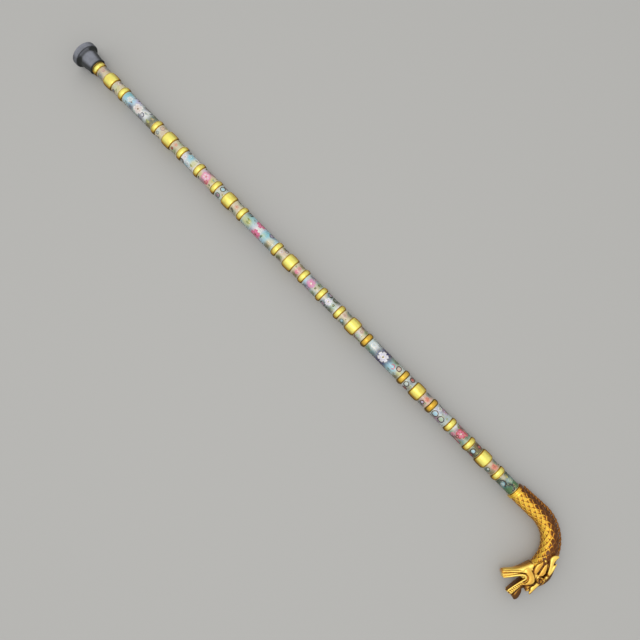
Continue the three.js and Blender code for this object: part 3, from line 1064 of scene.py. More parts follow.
@dataclass
class GiltBead:
    """A turned gilt spacer with round shoulders, a crowned face and a fine lip at each end."""

    node: str
    piece_name: str
    shoulder: float
    crown: float
    wear: float = 0.0
    drop: float = 1.15
    lip: float = 0.55
    lip_rise: float = 0.18
    groove: float = 0.22
    sides: int = 72
    bore: float = 3.2

    def profile(self) -> Profile:
        """The spacer's profile.

        Returns:
            The profile, from the bore over the crowned face to the bore.
        """
        start, end, top = extent(self.node)
        radius = top - self.crown
        edge = radius - self.drop
        lip_top = edge + self.lip_rise
        lip = [(start, edge), (start + self.lip * 0.2, lip_top), (start + self.lip * 0.8, lip_top),
               (start + self.lip, edge - self.groove + self.lip_rise)]
        first = arc((start + self.shoulder, edge), (self.shoulder - self.lip, self.drop), 180, 90, 8)
        flat_start, flat_end = start + self.shoulder, end - self.shoulder
        face = [
            (flat_start + (flat_end - flat_start) * share, radius + self.crown * 4 * share * (1 - share))
            for share in np.linspace(0, 1, 9)[1:-1]
        ]
        half = [(start, self.bore), *lip, *first]
        mirrored = [(start + end - x, r) for x, r in reversed(half)]
        return [*half, *face, *mirrored]

    def build(self) -> None:
        """Make the spacer and put it in place."""
        start, end, _ = extent(self.node)
        form = turned(self.profile(), self.sides)
        x = form[0][:, 0]
        # Painted shade at the spacer's ends, where it meets its neighbours, and at its sides, plus its own
        # wear
        ends = np.clip(1 - np.minimum(x - start, end - x) / 1.4, 0, 1) * 0.75
        dull = side_shade(form[0], 0.7, 0.97) * 0.95
        shell = Shell()
        shell.add(form, hollow_and_shade=np.clip(ends + dull + self.wear * 0.6, 0, 1))
        fit(shell.piece(self.piece_name, (BEAD_GILT,), 50), CANE, self.node)


# The enamel colours under their own names, for the designs
(CREAM, SAND, BLUSH, WHITE, PINK, ROSE, SALMON, RED, MAROON, MAUVE, ORCHID, LILAC,
 NAVY, INK, SKY, TURQUOISE, TEAL, MIST, SLATE, MINT, LIME, LEAF, FOREST, OLIVE) = Glaze


@dataclass
class Shaft:
    """Every bead on the rod, in the order of the nodes, with a design for each enamelled one."""

    small_designs: tuple[BeadDesign, ...] = (
        BeadDesign(SAND, (
            Wash(6, -8, 4, BLUSH), Wash(10, 4, 5, CREAM, 0.7), Wash(6, 55, 5, SLATE)), (
            Flower(6, -8, 2.8, MAUVE, BLUSH, RED), Leaf(8, 38, 4, 2, 150), Leaf(3, 30, 4, 1.8, 40))),
        BeadDesign(CREAM, (
            Wash(4, -34, 4, MAUVE, 0.5), Wash(9, 15, 4, LIME, 0.5), Wash(3, 20, 4, MINT, 0.5)), (
            Flower(5, -36, 2.8, MAUVE, WHITE), Leaf(8, 20, 5, 2.2, 60), Disc(5, 62, 2.4, SLATE))),
        BeadDesign(CREAM, (
            Wash(3, 25, 4, MIST), Wash(10, 0, 4, BLUSH, 0.4)), (
            Disc(5.4, -24, 3.4, BLUSH, MAUVE, 0.8), Disc(4, 38, 2.4, MIST, SLATE), Leaf(9, 62, 4, 2, 120))),
        BeadDesign(CREAM, (
            Wash(8, -32, 4, MINT, 0.7), Wash(8, 45, 5, LEAF, 0.5), Wash(5, 0, 4, BLUSH, 0.7)), (
            Flower(5.5, -4, 2.8, SALMON, BLUSH, RED), Disc(4, 44, 2.2, RED, MAROON),
            Leaf(10, 30, 4, 2, 90))),
        BeadDesign(MIST, (
            Wash(10, 10, 4, SAND, 0.7), Wash(2, 0, 3, CREAM, 0.7)), (
            Disc(6, -26, 3.9, SKY, INK, 1.1), Disc(6, 48, 3.7, MAUVE, INK, 1.2),
            Leaf(10, 8, 4, 2, 20, LEAF, LIME))),
        BeadDesign(CREAM, (
            Wash(7, 0, 4, BLUSH, 0.7), Wash(8, 60, 5, TEAL, 0.5), Wash(3, 46, 3, INK, 0.6)), (
            Flower(7.2, 0, 3, SALMON, BLUSH, MAROON), Scroll(5, -62, 2.4), Scroll(3.6, 48, 1.9))),
        BeadDesign(CREAM, (
            Wash(6, 56, 5, LEAF, 0.9), Wash(7, -62, 4, MAROON, 0.5), Wash(6, -8, 4, BLUSH, 0.8)), (
            Flower(4, -8, 2.6, MAUVE, WHITE, SALMON), Leaf(8, 20, 5, 2.4, 60),
            Disc(9, -40, 2.3, MIST, MAUVE))),
        BeadDesign(CREAM, (
            Wash(7, -4, 5, BLUSH), Wash(8, 20, 4, PINK, 0.6), Wash(8, 58, 5, OLIVE, 0.9)), (
            Flower(7.5, -14, 3.4, ROSE, BLUSH, RED), Flower(7.5, 26, 2.8, ROSE, PINK, RED),
            Leaf(2.2, -20, 4, 2, 70))),
        BeadDesign(CREAM, (
            Wash(5, -10, 4, BLUSH, 0.8), Wash(9, -50, 5, OLIVE, 0.7), Wash(8, 55, 5, TEAL, 0.6)), (
            Flower(4.5, -8, 2.7, MAUVE, BLUSH, MAROON), Disc(6, 46, 2.9, SKY, TEAL),
            Leaf(9.8, 0, 3.2, 1.4, 90, FOREST, INK))),
        BeadDesign(CREAM, (
            Wash(4, 10, 4, LILAC, 0.4), Wash(4, -62, 5, MAROON, 0.9), Wash(8, 34, 4, SKY, 0.3),
            Wash(11, -40, 4, LEAF, 0.8)), (
            Flower(5.5, -14, 2.8, MAUVE, BLUSH, WHITE), Disc(4.5, 38, 2.9, MINT, MIST),
            Leaf(10, 0, 3.2, 1.5, 80, OLIVE, SAND))),
        BeadDesign(MIST, (
            Wash(8, 0, 4, SLATE, 0.7), Wash(6, -50, 5, MAUVE, 0.5), Wash(10, 40, 5, OLIVE, 0.6)), (
            Disc(7, -38, 3.9, RED, MAROON, 1.7), Disc(4.6, 28, 3.8, MIST, INK, 1.2),
            Leaf(10, 6, 4.4, 2.2, 60))),
        BeadDesign(BLUSH, (
            Wash(8, -6, 4, SALMON, 0.7), Wash(5, 50, 4, MAUVE, 0.7), Wash(5, -55, 5, TEAL, 0.8)), (
            Flower(7.6, -6, 3, RED, SALMON), Disc(5.6, 42, 3.2, LILAC, MAROON, 1.3),
            Leaf(10, 16, 4, 2, 90))),
        BeadDesign(OLIVE, (
            Wash(2, 24, 4, MINT, 0.6), Wash(7, -50, 5, MAROON, 0.8), Wash(11, 30, 4, FOREST, 0.8)), (
            Disc(5.6, 26, 4.2, SKY, INK, 1.5), Disc(7.4, -46, 3.3, RED, MAROON, 1.2),
            Leaf(10.4, 0, 4, 2, 80, LEAF, OLIVE))),
        BeadDesign(SAND, (
            Wash(8, -12, 5, SALMON, 1), Wash(2, 0, 3, CREAM), Wash(5, 58, 5, TEAL, 0.9),
            Wash(11, 34, 4, OLIVE, 0.8)), (
            Flower(7.6, -12, 3.4, RED, SALMON, MAROON), Leaf(4, -50, 5, 2.2, 30),
            Disc(4.8, 44, 2.8, MIST, INK))),
    )
    medium_designs: tuple[BeadDesign, ...] = (
        BeadDesign(WHITE, (
            Wash(11, -24, 6, TURQUOISE), Wash(4, 12, 4, LILAC, 0.6), Wash(13, 34, 5, SKY, 0.9),
            Wash(20, 4, 5, LIME, 0.7), Wash(3, -44, 4, SLATE, 0.8)), (
            Flower(10.5, -26, 4.6, TURQUOISE, SKY, WHITE), Flower(4.6, 12, 3.2, LILAC, WHITE),
            Leaf(16, 24, 6, 2.8, 10, LEAF, LIME), Leaf(17, -34, 5, 2.4, -20, TEAL, MINT),
            Flower(12.5, 40, 3.4, SKY, WHITE, LILAC), Scroll(3.6, -50, 3.4, INK, 1.8))),
        BeadDesign(CREAM, (
            Wash(5, -30, 5, LILAC, 0.7), Wash(11, 4, 7, PINK), Wash(15, 26, 5, ROSE, 0.6),
            Wash(21, -10, 4, LIME, 0.8), Wash(1.5, 30, 4, LIME, 0.8), Wash(10, 58, 6, MAUVE, 0.8)), (
            Flower(11.2, 4, 6.8, WHITE, PINK, ROSE, 5, -8), Flower(15.6, 40, 3.6, RED, ROSE, PINK),
            Leaf(19, -26, 5.5, 2.6, 10), Leaf(20, 30, 4, 2.2, 20, FOREST, LEAF),
            Leaf(2.6, 46, 4.6, 2.4, 70, FOREST, LEAF))),
        BeadDesign(MIST, (
            Wash(8, -66, 6, NAVY, 0.8), Wash(4, 20, 5, SKY), Wash(10, 6, 6, PINK, 0.8),
            Wash(20, 0, 5, CREAM), Wash(20, -46, 5, LEAF, 0.7), Wash(10, 58, 5, SLATE, 0.7)), (
            Flower(10.6, 4, 6.6, PINK, ORCHID, WHITE, 5, 10), Disc(18.6, 8, 1.6, FOREST, FOREST, 0.8),
            Leaf(17.5, -38, 5, 2.4, 10, FOREST, LEAF), Flower(10.8, -52, 3, MAUVE, LILAC),
            Leaf(18, 44, 5, 2.2, 30))),
        BeadDesign(WHITE, (
            Wash(9, 14, 7, SKY, 0.8), Wash(2, -5, 4, CREAM), Wash(19, 14, 5, MINT),
            Wash(7, 60, 6, MAUVE, 0.9), Wash(6, -52, 6, TEAL, 1), Wash(18, -56, 6, FOREST, 0.9)), (
            Flower(10, 10, 5.4, LILAC, WHITE, SLATE), Scroll(6, -44, 3.8, INK, 2.1),
            Scroll(15, -52, 3.6, FOREST, 1.9, 0), Disc(18, 2, 1.7, FOREST, FOREST, 0.8),
            Leaf(17, 38, 5.5, 2.6, 0), Flower(6, 62, 3, MAUVE, LILAC))),
        BeadDesign(MIST, (
            Wash(8, -45, 6, SLATE), Wash(5, -4, 5, LILAC, 0.6), Wash(14, -60, 5, MAUVE, 0.8),
            Wash(12, 60, 5, MAUVE, 0.9), Wash(20, -4, 5, SLATE, 0.5)), (
            Disc(5.8, 32, 4.7, SKY, INK, 1.2), Disc(15.8, 32, 4.7, MINT, INK, 1.4),
            Flower(6.2, -30, 3.4, SLATE, WHITE, INK), Flower(14.6, -46, 3.4, MAUVE, LILAC),
            Leaf(12, -12, 6, 2.4, 10, SLATE, MIST), Leaf(21, -20, 4, 2, 80))),
        BeadDesign(MINT, (
            Wash(2, -15, 4, WHITE), Wash(8, 0, 5, MAUVE, 0.9), Wash(14, -16, 6, RED, 0.9),
            Wash(13, 24, 6, ROSE, 0.8), Wash(20, 48, 5, TEAL, 0.8), Wash(6, -62, 5, INK, 0.6),
            Wash(9, -42, 4, MAROON, 0.9), Wash(21, -20, 4, FOREST, 0.7)), (
            Flower(13, -4, 6.8, PINK, RED, WHITE, 5, 0), Disc(12.4, 34, 2.4, ROSE, MAROON, 1.2),
            Leaf(19, 42, 5, 2.6, 20), Leaf(3, -40, 5, 2.4, 20, FOREST, LEAF), Flower(6, 48, 3, MAUVE, PINK),
            Flower(18, -38, 3.2, RED, ROSE, MAROON))),
    )
    long_designs: tuple[BeadDesign, ...] = (
        BeadDesign(MIST, (
            Wash(5, -15, 8, TURQUOISE), Wash(10, 26, 7, SKY), Wash(20, -46, 8, LILAC),
            Wash(17, 46, 5, NAVY, 0.7), Wash(37, 50, 6, NAVY, 0.7), Wash(36, -48, 5, NAVY, 0.7),
            Wash(15, -6, 5, SKY, 0.9), Wash(41, -2, 7, WHITE, 0.8), Wash(54, 12, 7, OLIVE, 0.8),
            Wash(53, -50, 8, FOREST, 0.8), Wash(52, 60, 6, OLIVE, 0.9)), (
            Flower(28, 12, 7.8, BLUSH, WHITE, MAROON, 5, 4), Flower(10.6, 2, 4.2, SKY, WHITE, LILAC),
            Leaf(17, 12, 5, 2.4, 170, NAVY, SLATE), Leaf(37.5, -10, 7, 3.2, -10, SLATE, MIST),
            Leaf(45.5, 24, 7.5, 3.2, 5, LEAF, LIME), Leaf(49, -12, 6, 2.8, -20, OLIVE, SAND),
            Scroll(12, -44, 3.2, SLATE), Scroll(18, -54, 3, NAVY, 1.2), Leaf(6, 38, 6, 2.6, 20, TEAL, SKY),
            Scroll(43, -44, 3.6, NAVY, 1.2), Scroll(38, 26, 3.2, NAVY, 1.2)), 2),
        BeadDesign(SKY, (
            Wash(8, 14, 9, LIME, 0.9), Wash(10, -28, 7, TURQUOISE, 0.5), Wash(4, -52, 5, INK, 0.7),
            Wash(26, -58, 8, ROSE, 0.7), Wash(28, 58, 9, ROSE, 0.7), Wash(28, 0, 7, WHITE, 0.8),
            Wash(41, -16, 7, TURQUOISE, 0.7), Wash(38, 10, 4, MINT, 0.8), Wash(51, 14, 7, CREAM),
            Wash(50, 62, 6, OLIVE), Wash(47, -56, 4, NAVY, 0.9)), (
            Flower(25.4, -58, 7, PINK, ROSE, MAROON, 5, 10),
            Flower(28.4, 56, 7.6, PINK, ROSE, MAROON, 5, 30), Leaf(6, -6, 8, 3.2, 10, LEAF, LIME),
            Leaf(7, 26, 8, 3.2, -10, LEAF, LIME), Scroll(6, -48, 3.8, INK, 1.4),
            Leaf(37, 8, 6.5, 3, 95, LEAF, TEAL), Flower(45.6, -50, 3.8, LILAC, NAVY, WHITE),
            Leaf(46, 20, 8, 3.2, 0, SAND, CREAM), Flower(30, 0, 3.2, SKY, WHITE, LILAC),
            Leaf(14, -40, 6, 2.6, 20, TEAL, SKY)), 2),
        BeadDesign(MIST, (
            Wash(7, -5, 8, SKY, 0.4), Wash(9, -4, 6, WHITE, 0.9), Wash(3, 48, 5, LEAF, 0.8),
            Wash(12, 58, 6, TEAL, 0.8), Wash(27, -52, 11, NAVY, 1), Wash(27, 62, 11, NAVY, 1),
            Wash(17.5, 4, 4, NAVY, 0.7), Wash(35.5, 0, 4, NAVY, 0.8), Wash(42, 36, 8, TURQUOISE, 0.5),
            Wash(42, 10, 5, SKY, 0.8), Wash(42, -52, 7, LEAF, 0.7), Wash(55, 12, 4, LIME, 0.8),
            Wash(54, 60, 5, OLIVE)), (
            Flower(26, 8, 7.8, LILAC, WHITE, OLIVE, 6, 12), Flower(7, -10, 3.8, SKY, WHITE, LILAC),
            Scroll(43, 12, 3.6, ROSE, 1.2, 200), Disc(51, -18, 3.9, BLUSH, MAROON, 1.4),
            Leaf(39, 44, 7.5, 3, 5, TEAL, SKY), Leaf(39.5, -48, 7.5, 3, -5, FOREST, TEAL),
            Leaf(4, 34, 6, 2.6, 30, LEAF, TEAL), Scroll(11, -46, 3, SLATE),
            Leaf(48, 42, 6, 2.8, -10, TEAL, MIST)), 2),
    )
    collar_design: BeadDesign = BeadDesign(TEAL, (
        Wash(3, -6, 4.5, CREAM), Wash(3, 60, 6, OLIVE), Wash(11.5, -22, 4, MIST, 0.7),
        Wash(8.5, 44, 3.6, SKY), Wash(21, -34, 7, LEAF, 1), Wash(20, 34, 6, LEAF, 1),
        Wash(3, -60, 6, FOREST), Wash(14, 4, 3, FOREST, 0.9), Wash(24, 4, 2.4, CREAM, 0.7)), (
        Scroll(8.4, 42, 5, INK, 2.3, 170, 210, 0.2), Scroll(19, 16, 4.8, INK, 2.5, 170, 230, 0.3),
        Flower(12, -32, 3.2, TEAL, MINT, WHITE), Leaf(3, -38, 5.4, 2.6, 20, OLIVE, LIME),
        Leaf(17.5, -26, 5, 2.6, 10, FOREST, LEAF), Disc(8.6, 46, 2.2, SKY, MIST, 0.6)), 3)
    ring_wear: dict[int, float] = field(default_factory=lambda: {
        10: 0.12, 11: 0.12, 12: 0.72, 13: 0.68, 14: 0.8, 15: 0.2, 16: 0.2})
    drum_wear: dict[int, float] = field(default_factory=lambda: {6: 0.3, 7: 0.15})

    def build(self) -> None:
        """Make every bead of the shaft."""
        designs = {"small_bead": self.small_designs, "medium_bead": self.medium_designs,
                   "long_bead": self.long_designs}
        for name in sorted(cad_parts):
            kind, _, number = name.rpartition("_")
            if kind == "ring_spacer":
                wear = self.ring_wear.get(int(number), 0)
                GiltBead(name, f"gilt_ring_{number}", shoulder=1.9, crown=0.3, wear=wear).build()
            elif kind == "gilt_drum":
                wear = self.drum_wear.get(int(number), 0)
                GiltBead(name, f"drum_{number}", shoulder=2.6, crown=0.25, wear=wear).build()
            elif kind in designs:
                size = kind.removesuffix("_bead")
                design = designs[kind][int(number) - 1]
                EnamelBead(name, f"enamel_{size}_{number}", f"enamel_{size}", design).build()
        EnamelBead("collar_bead", "enamel_collar", "enamel_collar", self.collar_design).build()


def washer_profile(node: str, inner: float, edge: float) -> Profile:
    """The profile of a flat round part with broken edges.

    Args:
        node: the solid that it stands for.
        inner: its inner radius.
        edge: how much of each edge is broken.

    Returns:
        The profile.
    """
    start, end, outer = extent(node)
    return [(start, inner), (start, outer - edge), (start + edge, outer), (end - edge, outer),
            (end, outer - edge), (end, inner)]


def turn_part(node: str, profile: Profile, name: str, metal: BareMetal, body: str = CANE,
              sides: int = 64) -> None:
    """Turn a plain metal part and put it in place.

    Args:
        node: the solid that it stands for.
        profile: its profile.
        name: its name.
        metal: its finish.
        body: the body that it rides on.
        sides: how many faces go round.
    """
    shell = Shell()
    shell.add(turned(profile, sides))
    fit(shell.piece(name, (metal,), 30), body, node)


@dataclass
class RubberFoot:
    """The rubber foot, moulded in one piece, and the steel disc at the bottom of its socket."""

    node: str = "ferrule"
    disc_node: str = "ferrule_washer"
    flange_length: float = 8.0
    flange_radius: float = 18.0
    waist_radius: float = 13.8
    waist_end: float = 10.7
    tube_radius: float = 11.3
    socket_radius: float = 9.6
    socket_floor: float = 8.0
    rounding: float = 1.3
    lip: float = 0.5
    tread_depth: float = 1.2
    tread_radii: tuple[float, ...] = (7.0, 12.5)
    tread_width: float = 1.6
    tube_rows: int = 14
    sides: int = 96

    def profile(self) -> Profile:
        """The foot's profile from the middle of its tread to the bottom of its socket.

        Returns:
            The profile.
        """
        mouth = extent(self.node)[1]
        treads = []
        for radius in self.tread_radii:
            inner, outer = radius - self.tread_width / 2, radius + self.tread_width / 2
            treads += [(0.0, inner - 0.2), (0.15, inner), (self.tread_depth, inner + 0.15),
                       (self.tread_depth, outer - 0.15), (0.15, outer), (0.0, outer + 0.2)]
        r = self.rounding
        rim = self.flange_radius - r
        cove_radii = (self.waist_end - self.flange_length, rim - self.waist_radius)
        return [
            (0.0, 0.0),
            *treads,
            *arc((r, rim), (r, r), 180, 90),
            *arc((self.flange_length - r, rim), (r, r), 90, 0),
            *arc((self.waist_end, rim - 0.3), cove_radii, 180, 270, 8),
            *zip(np.linspace(self.waist_end + 0.6, mouth - 3.4, self.tube_rows),
                 np.linspace(self.waist_radius - 0.1, self.tube_radius, self.tube_rows)),
            (mouth - 3.0, self.tube_radius - 0.3),
            *arc((mouth - 2.4, self.tube_radius), (0.5, self.lip), 180, 90, 4),
            *arc((mouth - 0.7, self.tube_radius), (0.7, self.lip), 90, 0, 4),
            (mouth, self.socket_radius + 0.3),
            (mouth - 0.4, self.socket_radius),
            (self.socket_floor, self.socket_radius),
            (self.socket_floor, 0.0),
        ]

    def unworn_and_shaded(self, points: np.ndarray) -> np.ndarray:
        """Black rubber in the tread and the socket; painted shade in the cove, on the flange, lip and
        sides.

        Args:
            points: places in the cane's frame.

        Returns:
            How black each is, from 0 to 1.
        """
        x, radius = points[:, 0], np.hypot(points[:, 1], points[:, 2])
        on_tube = (x > self.flange_length) * (radius > self.tube_radius - 0.6)
        # Painted shade at the sides, over the flange's rim, in the cove and on the lip at the mouth
        sides = side_shade(points, 0.45, 0.8) * np.where(on_tube, 0.8, 0.48)
        far_edge = np.clip((x - 3.0) / 5.0, 0, 1) * (x <= self.flange_length) * 0.3
        from_cove = np.abs(x - self.flange_length - 2.0)
        cove = np.clip(1.3 - from_cove / 2.6, 0, 1) * (radius < self.flange_radius - 0.2) * 0.62
        tread = (x < 0.5) * 0.7
        lip = np.clip((x - x.max() + 1.2) / 0.5, 0, 1) * 0.9
        socket = (radius < self.socket_radius + 0.05) * (x > self.socket_floor - 1) * 0.6
        return np.clip(np.maximum(sides, far_edge) + cove + tread + socket + lip, 0, 1)

    def build(self) -> None:
        """Make the foot and its disc."""
        shell = Shell()
        form = turned(self.profile(), self.sides)
        shell.add(form, hollow_and_shade=self.unworn_and_shaded(form[0]))
        fit(shell.piece("rubber_foot", (FOOT_RUBBER,), 35), FOOT, self.node)
        turn_part(self.disc_node, washer_profile(self.disc_node, 0.0, 0.3), "socket_disc", STEEL,
                  FOOT, self.sides)


@dataclass
class TipEnd:
    """The turned brass end under the rubber foot, with the rod's end, its nut and its washer."""

    sleeve: str = "tip_sleeve"
    nut: str = "end_nut"
    washer: str = "end_washer"
    rod: str = "core_rod"
    pocket_radius: float = 6.27
    pocket_depth: float = 8.0
    bore: float = 3.2
    chamfer: float = 0.8
    groove_depth: float = 0.25
    nut_sides: int = 72
    nut_chamfer: float = 0.5
    thread_pitch: float = 1.0
    thread_depth: float = 0.35
    threaded: float = 14.0

    def build(self) -> None:
        """Make the sleeve, the washer, the nut and the rod."""
        self.build_sleeve()
        self.build_washer()
        self.build_nut()
        self.build_rod()

    def build_sleeve(self) -> None:
        """The sleeve, with its pocket, a chamfer and three grip grooves."""
        start, end, radius = extent(self.sleeve)
        grooves = []
        for place in (0.35, 0.5, 0.65):
            at, floor = start + (end - start) * place, radius - self.groove_depth
            grooves += [(at - 0.5, radius), (at - 0.25, floor), (at + 0.25, floor), (at + 0.5, radius)]
        profile = [
            (start, self.pocket_radius), (start, radius - self.chamfer), (start + self.chamfer, radius),
            *grooves, (end - 0.3, radius), (end, radius - 0.3), (end, self.bore),
            (start + self.pocket_depth, self.bore), (start + self.pocket_depth, self.pocket_radius),
        ]
        turn_part(self.sleeve, profile, "brass_tip_sleeve", BRASS)

    def build_washer(self) -> None:
        """The washer under the nut, with broken edges."""
        turn_part(self.washer, washer_profile(self.washer, self.bore, 0.2), "tip_washer", STEEL)

    def build_nut(self) -> None:
        """The hexagon nut, chamfered at both faces."""
        start, end, corner_radius = extent(self.nut)
        flat_radius = corner_radius * math.cos(math.pi / 6)
        angles = round_angles(self.nut_sides)
        within = (angles + math.pi / 6) % (math.pi / 3) - math.pi / 6
        hexagon = (flat_radius - 0.02) / np.cos(within)
        rounded = np.minimum(hexagon, flat_radius * 1.1)
        face = np.minimum(hexagon, flat_radius * 0.99)
        bore = np.full(self.nut_sides, self.bore)
        rings = [(start, bore), (start, face), (start + self.nut_chamfer, rounded),
                 (end - self.nut_chamfer, rounded), (end, face), (end, bore)]
        points = np.vstack([
            np.stack([np.full_like(radius, x), radius * np.sin(angles), radius * np.cos(angles)], axis=1)
            for x, radius in rings
        ])
        walls = tube_faces(len(rings), self.nut_sides, closed=True)
        faces = [tuple(reversed(wall)) for wall in walls]
        shell = Shell()
        shell.add((points, faces))
        fit(shell.piece("tip_nut", (STEEL,), 25), CANE, self.nut)

    def build_rod(self) -> None:
        """The rod, with its thread cut at the lower end."""
        start, end, radius = extent(self.rod)
        profile = [(start, 0.0), (start, radius - 0.6), (start + 0.5, radius - self.thread_depth)]
        for turn in range(int(self.threaded / self.thread_pitch)):
            at = start + 0.6 + turn * self.thread_pitch
            profile += [(at + 0.4 * self.thread_pitch, radius), (at + 0.55 * self.thread_pitch, radius),
                        (at + 0.95 * self.thread_pitch, radius - self.thread_depth)]
        profile += [(start + self.threaded + 2, radius), (end - 0.5, radius), (end, radius - 0.5),
                    (end, 0.0)]
        turn_part(self.rod, profile, "threaded_rod", STEEL, sides=32)


def limb(keys: Sequence[Sequence[float]], steps: int = 28, sides: int = 28, fullness: float = 2.0,
         side: int = 1) -> Form:
    """A closed tapering body over a row of oval rings.

    Args:
        keys: x, reach, z, half height and half width of each ring.
        steps: how many rings are drawn.
        sides: how many points a ring has.
        fullness: 2 for an oval, more for a box with round corners, less for a blade with an edge.
        side: 1, or -1 for the twin under the middle plane.

    Returns:
        The body's points and faces.
    """
    run = smooth_path(keys, steps + 1)
    centre = np.stack([run[:, 0], -run[:, 1], run[:, 2] * side], axis=1)
    tangent = np.gradient(centre, axis=0)
    tangent /= np.linalg.norm(tangent, axis=1)[:, None]
    outward = np.cross([0.0, 0.0, 1.0], tangent)
    outward /= np.linalg.norm(outward, axis=1)[:, None]
    across = np.cross(tangent, outward)
    turns = round_angles(sides)
    power = 2 / fullness
    rise = np.sign(np.cos(turns)) * np.abs(np.cos(turns)) ** power
    spread = np.sign(np.sin(turns)) * np.abs(np.sin(turns)) ** power
    half_height, half_width = np.maximum(run[:, 3], 0.15), np.maximum(run[:, 4], 0.15)
    points = (centre[:, None] + outward[:, None] * (half_height[:, None] * rise)[..., None]
              + across[:, None] * (half_width[:, None] * spread)[..., None])
    faces = [tuple(reversed(face)) for face in tube_faces(steps + 1, sides)]
    return points.reshape(-1, 3), faces


def ball(x: float, reach: float, z: float, radii: Point, side: int = 1) -> Form:
    """An oval ball.

    Args:
        x: its middle along the cane.
        reach: its middle's reach.
        z: its middle's height.
        radii: its half sizes along x, reach and z.
        side: 1, or -1 for the twin under the middle plane.

    Returns:
        The ball's points and faces.
    """
    profile = [(-math.cos(math.pi * k / 14), math.sin(math.pi * k / 14)) for k in range(15)]
    profile[0], profile[-1] = (-1.0, 0.0), (1.0, 0.0)
    points, faces = turned(profile, 20)
    return points * np.array(radii) + np.array([x, -reach, z * side]), faces


def plate(keys: Sequence[Sequence[float]], side: int = 1, end_depth: float = 5.0, depth: float = 5.0,
          steps: int = 40, ribs: int = 11) -> Form:
    """A raised plate of the casting, crowned between its two edges.

    Args:
        keys: x and reach of one edge, x and reach of the other, the edges' height and the crown's rise.
        side: 1, or -1 for the twin under the middle plane.
        end_depth: how far the plate goes down into the casting at its end.
        depth: the same at its start.
        steps: how many ribs are drawn along it.
        ribs: how many points the crown has.

    Returns:
        The plate's points and faces.
    """
    first_x, first_reach, last_x, last_reach, edge, crown = smooth_path(keys, steps + 1).T
    root = edge - np.linspace(depth, end_depth, steps + 1)
    across = np.linspace(-1, 1, ribs)
    dome = (1 - np.abs(across) ** 2.4) ** 0.7
    share = (across + 1) / 2
    x = first_x[:, None] * (1 - share) + last_x[:, None] * share
    reach = first_reach[:, None] * (1 - share) + last_reach[:, None] * share
    height = edge[:, None] + crown[:, None] * dome
    x = np.hstack([first_x[:, None], x, last_x[:, None]])
    reach = np.hstack([first_reach[:, None], reach, last_reach[:, None]])
    height = np.hstack([root[:, None], height, root[:, None]])
    points = np.stack([x, -reach, height * side], axis=2).reshape(-1, 3)
    return points, tube_faces(steps + 1, ribs + 2)


@dataclass(frozen=True)
class Line:
    """A line cut into both cheeks of the head: its x and reach, depth, half width and how dark it is."""

    keys: Keys
    depth: float = 0.5
    width: float = 0.6
    stain: float = 0.8
    closed: bool = False


